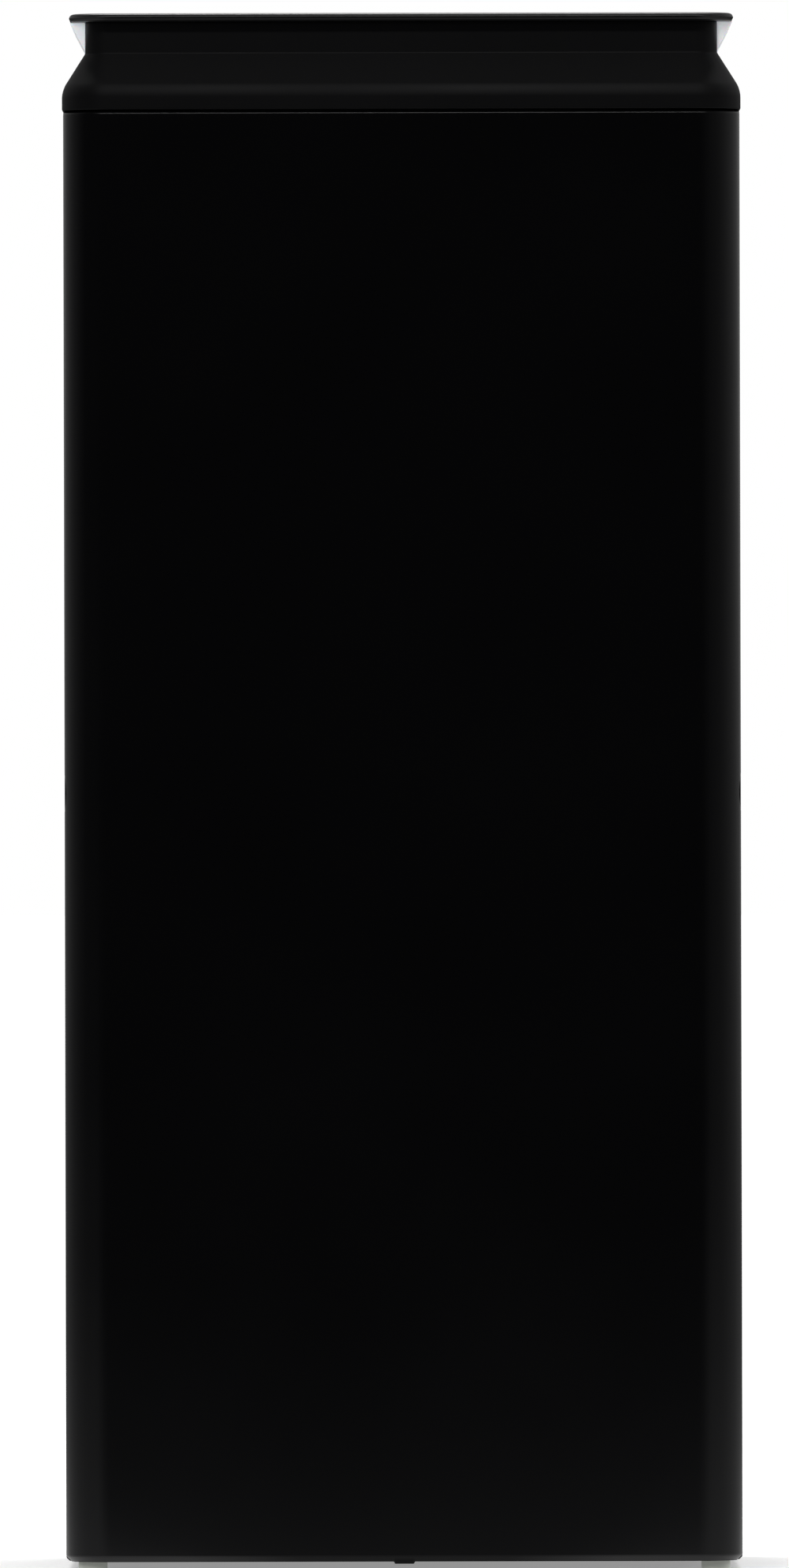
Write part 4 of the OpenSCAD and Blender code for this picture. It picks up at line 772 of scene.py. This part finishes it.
# %% Particle filter
PAPER = 0.7 * MM                # thickness of the paper
PLEAT = 8 * MM                  # from fold to fold on one side
GLUE_ROWS = 9
BEAD = 1 * MM
low, high = corners("hepa_media")
size = high - low
folds = 2 * int(size.x / PLEAT + 0.01)
edge_gap = PAPER * 1.5
paper = grow("pleated_paper", pleats, Folds=folds, Width=size.x - 2 * PAPER, Depth=size.y - 2 * edge_gap,
             Height=size.z, Bend=0.9 * MM, Corner=(low.x + PAPER, low.y + edge_gap, low.z),
             Finish=paints["media_white"])
thick = paper.modifiers.new("paper", "SOLIDIFY")
thick.thickness = PAPER
thick.offset = 0
keep_result(paper)
settle(paper, "hepa_media")
fold_step = size.x / folds
glue = grow("glue_beads", beads, Columns=folds // 2 - 1, Rows=GLUE_ROWS, Wide=size.x - 4 * fold_step,
            Tall=size.z * 0.84, Middle=(0, low.y + 1.4 * MM, (low.z + high.z) / 2), Radius=BEAD,
            Stretch=(1.5, 1.1, 1.1), Turn=(math.radians(90), 0, 0), Finish=paints["part_white"])
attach(glue, body_of["hepa_media"])

# %% [markdown]
# ## Odour filter
# Carbon grains sit in a honeycomb of thin black walls. One cell is a six-sided ring. The tree sets a
# ring on every point of a grid and moves each second row half a cell over, which is all that makes a
# honeycomb. A thin scrim behind the cells keeps the grains in.

# %% The honeycomb tree
comb, given = plant("honeycomb", Columns="int", Rows="int", Cell="size", Wall="size", Deep="size",
                    Middle="place")
row_step = sums(comb, "MULTIPLY", given["Cell"], math.sqrt(3) / 2)
grid = add(comb, "GeometryNodeMeshGrid", {
    "Size X": sums(comb, "MULTIPLY", given["Cell"], sums(comb, "SUBTRACT", given["Columns"], 1.0)),
    "Size Y": sums(comb, "MULTIPLY", row_step, sums(comb, "SUBTRACT", given["Rows"], 1.0)),
    "Vertices X": given["Columns"], "Vertices Y": given["Rows"]})
row_number = sums(comb, "MODULO", add(comb, "GeometryNodeInputIndex").outputs[0], given["Rows"])
half_cell = sums(comb, "MULTIPLY", given["Cell"], 0.5)
shift = sums(comb, "MULTIPLY", sums(comb, "MODULO", row_number, 2.0), half_cell)
staggered = add(comb, "GeometryNodeSetPosition", {0: grid.outputs[0], "Offset": vector(comb, shift)})
outline = add(comb, "GeometryNodeCurvePrimitiveCircle", {
    "Resolution": 6, "Radius": sums(comb, "DIVIDE", sums(comb, "SUBTRACT", given["Cell"], given["Wall"]),
                                    math.sqrt(3))})
flat_side = add(comb, "GeometryNodeTransform", {
    0: outline.outputs[0], "Rotation": (0, 0, math.radians(30))})
wall = add(comb, "GeometryNodeCurvePrimitiveQuadrilateral", {
    "Width": given["Wall"], "Height": given["Deep"]})
cell = add(comb, "GeometryNodeCurveToMesh", {0: flat_side.outputs[0], 1: wall.outputs[0]})
cells = add(comb, "GeometryNodeInstanceOnPoints", {0: staggered.outputs[0], "Instance": cell.outputs[0]})
standing = add(comb, "GeometryNodeTransform", {
    0: cells.outputs[0], "Translation": given["Middle"], "Rotation": (math.radians(90), 0, 0)})
crown(comb, given, standing.outputs[0])
print("honeycomb tree:", len(comb.nodes), "nodes")

# %% Odour filter
CELL = 8 * MM
CELL_WALL = 0.5 * MM
SCRIM = 1 * MM                  # the cloth behind the comb
low, high = corners("carbon_core")
size = high - low
columns = int((size.x - CELL / 2) / CELL)
rows = int(size.z / (CELL * math.sqrt(3) / 2))
core = grow("carbon_cells", comb, Columns=columns, Rows=rows, Cell=CELL, Wall=CELL_WALL,
            Deep=size.y - SCRIM,
            Middle=(-CELL / 4, (low.y + high.y - SCRIM) / 2, (low.z + high.z) / 2),
            Finish=paints["carbon_black"])
backing = bmesh.new()
bmesh.ops.create_cube(backing, size=1)
for corner in backing.verts:
    corner.co = Vector((corner.co.x * size.x, corner.co.y * SCRIM, corner.co.z * size.z))
    corner.co += Vector((0, high.y - SCRIM / 2, (low.z + high.z) / 2))
settle(joined("carbon_honeycomb", core, link("scrim", mesh_of(backing, "scrim"))), "carbon_core")

# %% [markdown]
# ## Washable screen
# The screen is woven nylon. In a plain weave a thread goes over one crossing and under the next, and
# its neighbour does the opposite. So the tree makes two wavy threads, one the other way up, and picks
# them in turn along a row. It runs twice, once for each direction of the weave.

# %% The weave tree
weave, given = plant("weave", Threads="int", Crossings="int", Pitch="size", Wave="size", Radius="size",
                     Phase="int", Middle="place", Turn="place")
threads = []
number = add(weave, "GeometryNodeInputIndex").outputs[0]
length = sums(weave, "MULTIPLY", given["Pitch"], sums(weave, "SUBTRACT", given["Crossings"], 1.0))
start_x = sums(weave, "MULTIPLY", length, -0.5)
thread_end = add(weave, "GeometryNodeCurvePrimitiveCircle", {"Resolution": 4, "Radius": given["Radius"]})
for way in (0.0, 1.0):
    path = add(weave, "GeometryNodeMeshLine", {
        "Count": given["Crossings"], "Start Location": vector(weave, start_x),
        "Offset": vector(weave, given["Pitch"])})
    side = sums(weave, "MODULO", sums(weave, "ADD", number, sums(weave, "ADD", given["Phase"], way)), 2.0)
    rise = sums(weave, "MULTIPLY", sums(weave, "SUBTRACT", side, 0.5), given["Wave"])
    wavy = add(weave, "GeometryNodeSetPosition", {
        0: path.outputs[0], "Offset": vector(weave, 0.0, 0.0, rise)})
    curve = add(weave, "GeometryNodeMeshToCurve", {0: wavy.outputs[0]})
    thread = add(weave, "GeometryNodeCurveToMesh", {
        0: curve.outputs[0], 1: thread_end.outputs[0], "Fill Caps": True})
    threads.append(add(weave, "GeometryNodeGeometryToInstance", {0: thread.outputs[0]}).outputs[0])
both_ways = add(weave, "GeometryNodeJoinGeometry")
for thread in threads:
    weave.links.new(thread, both_ways.inputs[0])
reach = sums(weave, "MULTIPLY", given["Pitch"], sums(weave, "SUBTRACT", given["Threads"], 1.0))
row = add(weave, "GeometryNodeMeshLine", {
    "Count": given["Threads"], "Start Location": vector(weave, 0.0, sums(weave, "MULTIPLY", reach, -0.5)),
    "Offset": vector(weave, 0.0, given["Pitch"])})
laid = add(weave, "GeometryNodeInstanceOnPoints", {
    0: row.outputs[0], "Instance": both_ways.outputs[0], "Pick Instance": True,
    "Instance Index": sums(weave, "MODULO", number, 2.0)})
flat = add(weave, "GeometryNodeTransform", {0: laid.outputs[0], "Rotation": given["Turn"]})
hung = add(weave, "GeometryNodeTransform", {
    0: flat.outputs[0], "Translation": given["Middle"], "Rotation": (math.radians(90), 0, 0)})
crown(weave, given, hung.outputs[0])
print("weave tree:", len(weave.nodes), "nodes")

# %% Washable screen
THREAD_PITCH = 3.6 * MM
THREAD = 0.32 * MM              # radius of one thread
low, high = corners("screen_mesh")
middle = (low + high) / 2
across = int((high.x - low.x) / THREAD_PITCH) + 1
upwards = int((high.z - low.z) / THREAD_PITCH) + 1
shared = dict(Pitch=THREAD_PITCH, Wave=2 * THREAD, Radius=THREAD, Middle=tuple(middle),
              Finish=paints["mesh_black"])
weft = grow("weft", weave, Threads=upwards, Crossings=across, Phase=0, Turn=(0, 0, 0), **shared)
warp = grow("warp", weave, Threads=across, Crossings=upwards, Phase=1,
            Turn=(0, 0, math.radians(90)), **shared)
settle(joined("woven_screen", weft, warp), "screen_mesh")

# %% [markdown]
# ## Screws
# The casing is held by cross-head screws in sunk holes. A head is a low dome with a cross cut into it,
# which takes a Boolean once. The tree then sets the finished screw on points. The points are the
# middles of the model's own screws, so a screw can't end up beside its hole.

# %% One cross-head screw
CROSS_LONG, CROSS_WIDE = 3.6 * MM, 0.9 * MM


def turned_shape(name, outline, steps=32):
    """Turns an outline of (radius, height) pairs about the upright axis into a closed solid."""
    shape = bmesh.new()
    rings = []
    for radius, height in outline:
        turns = [math.tau * i / steps for i in range(steps if radius > 0 else 1)]
        rings.append([shape.verts.new((radius * math.cos(turn), radius * math.sin(turn), height))
                      for turn in turns])
    for low_ring, high_ring in zip(rings, rings[1:]):
        for i in range(steps):
            after = (i + 1) % steps
            ends = [low_ring[i % len(low_ring)], low_ring[after % len(low_ring)],
                    high_ring[after % len(high_ring)], high_ring[i % len(high_ring)]]
            shape.faces.new(list(dict.fromkeys(ends)))
    bmesh.ops.recalc_face_normals(shape, faces=shape.faces)
    return link(name, mesh_of(shape, name))


def screw_blank(head_radius, head_height, shank_radius, shank_length):
    """A dome-headed screw, its head's top at the origin, pointing down the upright axis."""
    dome = [(head_radius * math.cos(math.radians(a)), 0.45 * head_height * (math.sin(math.radians(a)) - 1))
            for a in (0, 20, 40, 60, 75)]
    blank = turned_shape("screw_blank", [
        (0, -head_height - shank_length), (0.6 * shank_radius, -head_height - shank_length),
        (shank_radius, -head_height - shank_length + shank_radius),
        (shank_radius, -head_height), (head_radius, -head_height), *dome, (0, 0)])
    cutter = bmesh.new()
    for long_x, long_y in ((CROSS_LONG, CROSS_WIDE), (CROSS_WIDE, CROSS_LONG)):
        made = bmesh.ops.create_cube(cutter, size=1)["verts"]
        for corner in made:
            narrow = 1.0 if corner.co.z > 0 else 0.55
            corner.co = Vector((corner.co.x * long_x * narrow, corner.co.y * long_y * narrow,
                                corner.co.z * 2 * head_height * 0.8))
    cross = link("cross", mesh_of(cutter, "cross"))
    cut = blank.modifiers.new("cross", "BOOLEAN")
    cut.operation = "DIFFERENCE"
    cut.solver = "EXACT"
    cut.use_self = True
    cut.object = cross
    keep_result(blank)
    bpy.data.objects.remove(cross)
    return blank


# %% The screw tree
fixings, given = plant("fixings", Turn="place", Blank="shape")
blank_shape = add(fixings, "GeometryNodeObjectInfo", {"Object": given["Blank"]}).outputs["Geometry"]
set_down = add(fixings, "GeometryNodeInstanceOnPoints", {
    0: given[0], "Instance": blank_shape, "Rotation": given["Turn"]})
crown(fixings, given, set_down.outputs[0])


def islands(node):
    """The lowest and highest corners of each separate solid in a model part."""
    shape = bmesh.new()
    shape.from_mesh(nodes[node].data)
    bmesh.ops.remove_doubles(shape, verts=shape.verts, dist=WELD)
    waiting = set(shape.verts)
    found = []
    while waiting:
        group, edge_of = set(), [waiting.pop()]
        while edge_of:
            vert = edge_of.pop()
            group.add(vert)
            for edge in vert.link_edges:
                other = edge.other_vert(vert)
                if other in waiting:
                    waiting.remove(other)
                    edge_of.append(other)
        found.append([Vector(pick(vert.co[axis] for vert in group) for axis in range(3))
                      for pick in (min, max)])
    shape.free()
    return sorted(found, key=lambda box: tuple(box[0]))


# %% Screws in the back and under the base
HEADS = {"rear_screws": (1, 1), "base_screws": (2, -1)}     # the axis and the way that the heads face
HEAD_RADIUS, HEAD_HEIGHT, SHANK_RADIUS = 3 * MM, 2 * MM, 1.5 * MM
for node, (axis, way) in HEADS.items():
    tops = []
    for low, high in islands(node):
        place = (low + high) / 2
        place[axis] = high[axis] if way > 0 else low[axis]
        tops.append(place)
    length = high[axis] - low[axis]
    blank = screw_blank(HEAD_RADIUS, HEAD_HEIGHT, SHANK_RADIUS, length - HEAD_HEIGHT)
    points = bpy.data.meshes.new(node)
    points.from_pydata(tops, [], [])
    turn = (math.radians(-90), 0, 0) if axis == 1 else (math.radians(180), 0, 0)
    piece = grow(node.replace("screws", "cross_screws"), fixings, base=points, Turn=turn, Blank=blank,
                 Finish=paints["steel"])
    bpy.data.objects.remove(blank)
    settle(piece, node)

# %% [markdown]
# ## Marks on the keys and the display
# The keys carry plain signs in place of words: a broken ring for power, three blades for speed, a
# ring with a dot for mode, and a clock face for the timer. The display shows two plain digits. Each
# mark is a thin flat stroke along a line, so one tree carries a low strip along any line drawn.

# %% The stroke tree
strokes, given = plant("strokes", Width="size", Height="size")
line = add(strokes, "GeometryNodeMeshToCurve", {0: given[0]})
strip = add(strokes, "GeometryNodeCurvePrimitiveQuadrilateral",
            {"Width": given["Width"], "Height": given["Height"]})
inked = add(strokes, "GeometryNodeCurveToMesh", {
    0: line.outputs[0], 1: strip.outputs[0], "Fill Caps": True})
crown(strokes, given, inked.outputs[0])


def arc(radius, start, sweep, centre=(0, 0), steps=20):
    """Points along an arc, in millimetres, from start through sweep in degrees."""
    turns = [math.radians(start + sweep * i / steps) for i in range(steps + 1)]
    return [(centre[0] + radius * math.cos(turn), centre[1] + radius * math.sin(turn)) for turn in turns]


def mark(name, lines, place, width, slot, body):
    """Draws flat strokes along lines given in millimetres round a place."""
    verts, edges = [], []
    for drawn in lines:
        edges += [(len(verts) + i, len(verts) + i + 1) for i in range(len(drawn) - 1)]
        verts += [(place[0] + x * MM, place[1] + y * MM, place[2]) for x, y in drawn]
    base = bpy.data.meshes.new(name)
    base.from_pydata(verts, edges, [])
    piece = grow(name, strokes, base=base, Width=width, Height=0.12 * MM, Finish=paints[slot])
    piece.data.materials.clear()
    piece.data.materials.append(paints[slot])
    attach(piece, body)
    return piece


# %% Signs on the keys
LIFT = 0.02 * MM                # how far a printed mark stands off its surface
DIAL = 3.2                      # radius of a sign's ring, in millimetres
BLADE = 1.7                     # radius of one blade's arc
SIGNS = {
    "power_key": [arc(3.0, 125, 290), [(0, 1.4), (0, 4.2)]],
    "speed_key": [arc(BLADE, turn, 150, arc(BLADE, turn, 0)[0]) for turn in (0, 120, 240)],
    "mode_key": [arc(DIAL, 0, 360), arc(0.7, 0, 360)],
    "timer_key": [arc(DIAL, 0, 360), [(0, 2.1), (0, 0), (1.5, -0.9)]],
}
for node, lines in SIGNS.items():
    low, high = corners(node)
    top = ((low.x + high.x) / 2, (low.y + high.y) / 2, high.z + LIFT)
    mark(node.replace("key", "sign"), lines, top, 0.45 * MM, "part_white", body_of[node])

# %% Digits on the display
LIT = {                         # the bars of one digit that light up, in millimetres from its middle
    "top": [(-2, 5), (2, 5)], "middle": [(-2, 0), (2, 0)], "base": [(-2, -5), (2, -5)],
    "right_high": [(2.4, 4.6), (2.4, 0.4)], "right_low": [(2.4, -0.4), (2.4, -4.6)],
    "left_low": [(-2.4, -0.4), (-2.4, -4.6)],
}
DIGITS = [(-5.5, ("right_high", "right_low")), (5.5, ("top", "right_high", "middle", "left_low", "base"))]
low, high = corners("display_lens")
lines = [[(x + shift, y) for x, y in LIT[bar]] for shift, bars in DIGITS for bar in bars]
top = ((low.x + high.x) / 2, (low.y + high.y) / 2, high.z + LIFT)
mark("display_digits", lines, top, 0.8 * MM, "frosted_guide", body_of["display_lens"])

# %% [markdown]
# ## Rating plate
# The foil plate on the back is left blank, apart from the thin printed border and the two empty
# fields that such plates have. The lines are the same flat strokes, turned to lie on the back.

# %% Lines on the rating plate
low, high = corners("rating_plate")
wide, tall = (high.x - low.x) / MM, (high.z - low.z) / MM
MARGIN = 3.0                    # from the plate's edge to the border, in millimetres
half_w, half_t = wide / 2 - MARGIN, tall / 2 - MARGIN
border = [(-half_w, -half_t), (half_w, -half_t), (half_w, half_t), (-half_w, half_t), (-half_w, -half_t)]
rules = [[(-half_w, half_t / 3), (half_w, half_t / 3)], [(half_w / 4, half_t / 3), (half_w / 4, -half_t)]]
plate_lines = mark("plate_lines", [border, *rules], (0, 0, 0), 0.4 * MM, "part_black",
                   body_of["rating_plate"])
plate_place = Vector(((low.x + high.x) / 2, high.y + LIFT, (low.z + high.z) / 2))
for vert in plate_lines.data.vertices:
    x, y, z = vert.co
    vert.co = plate_place + Vector((-x, z, y))
print("plate", round(wide), "by", round(tall), "mm")
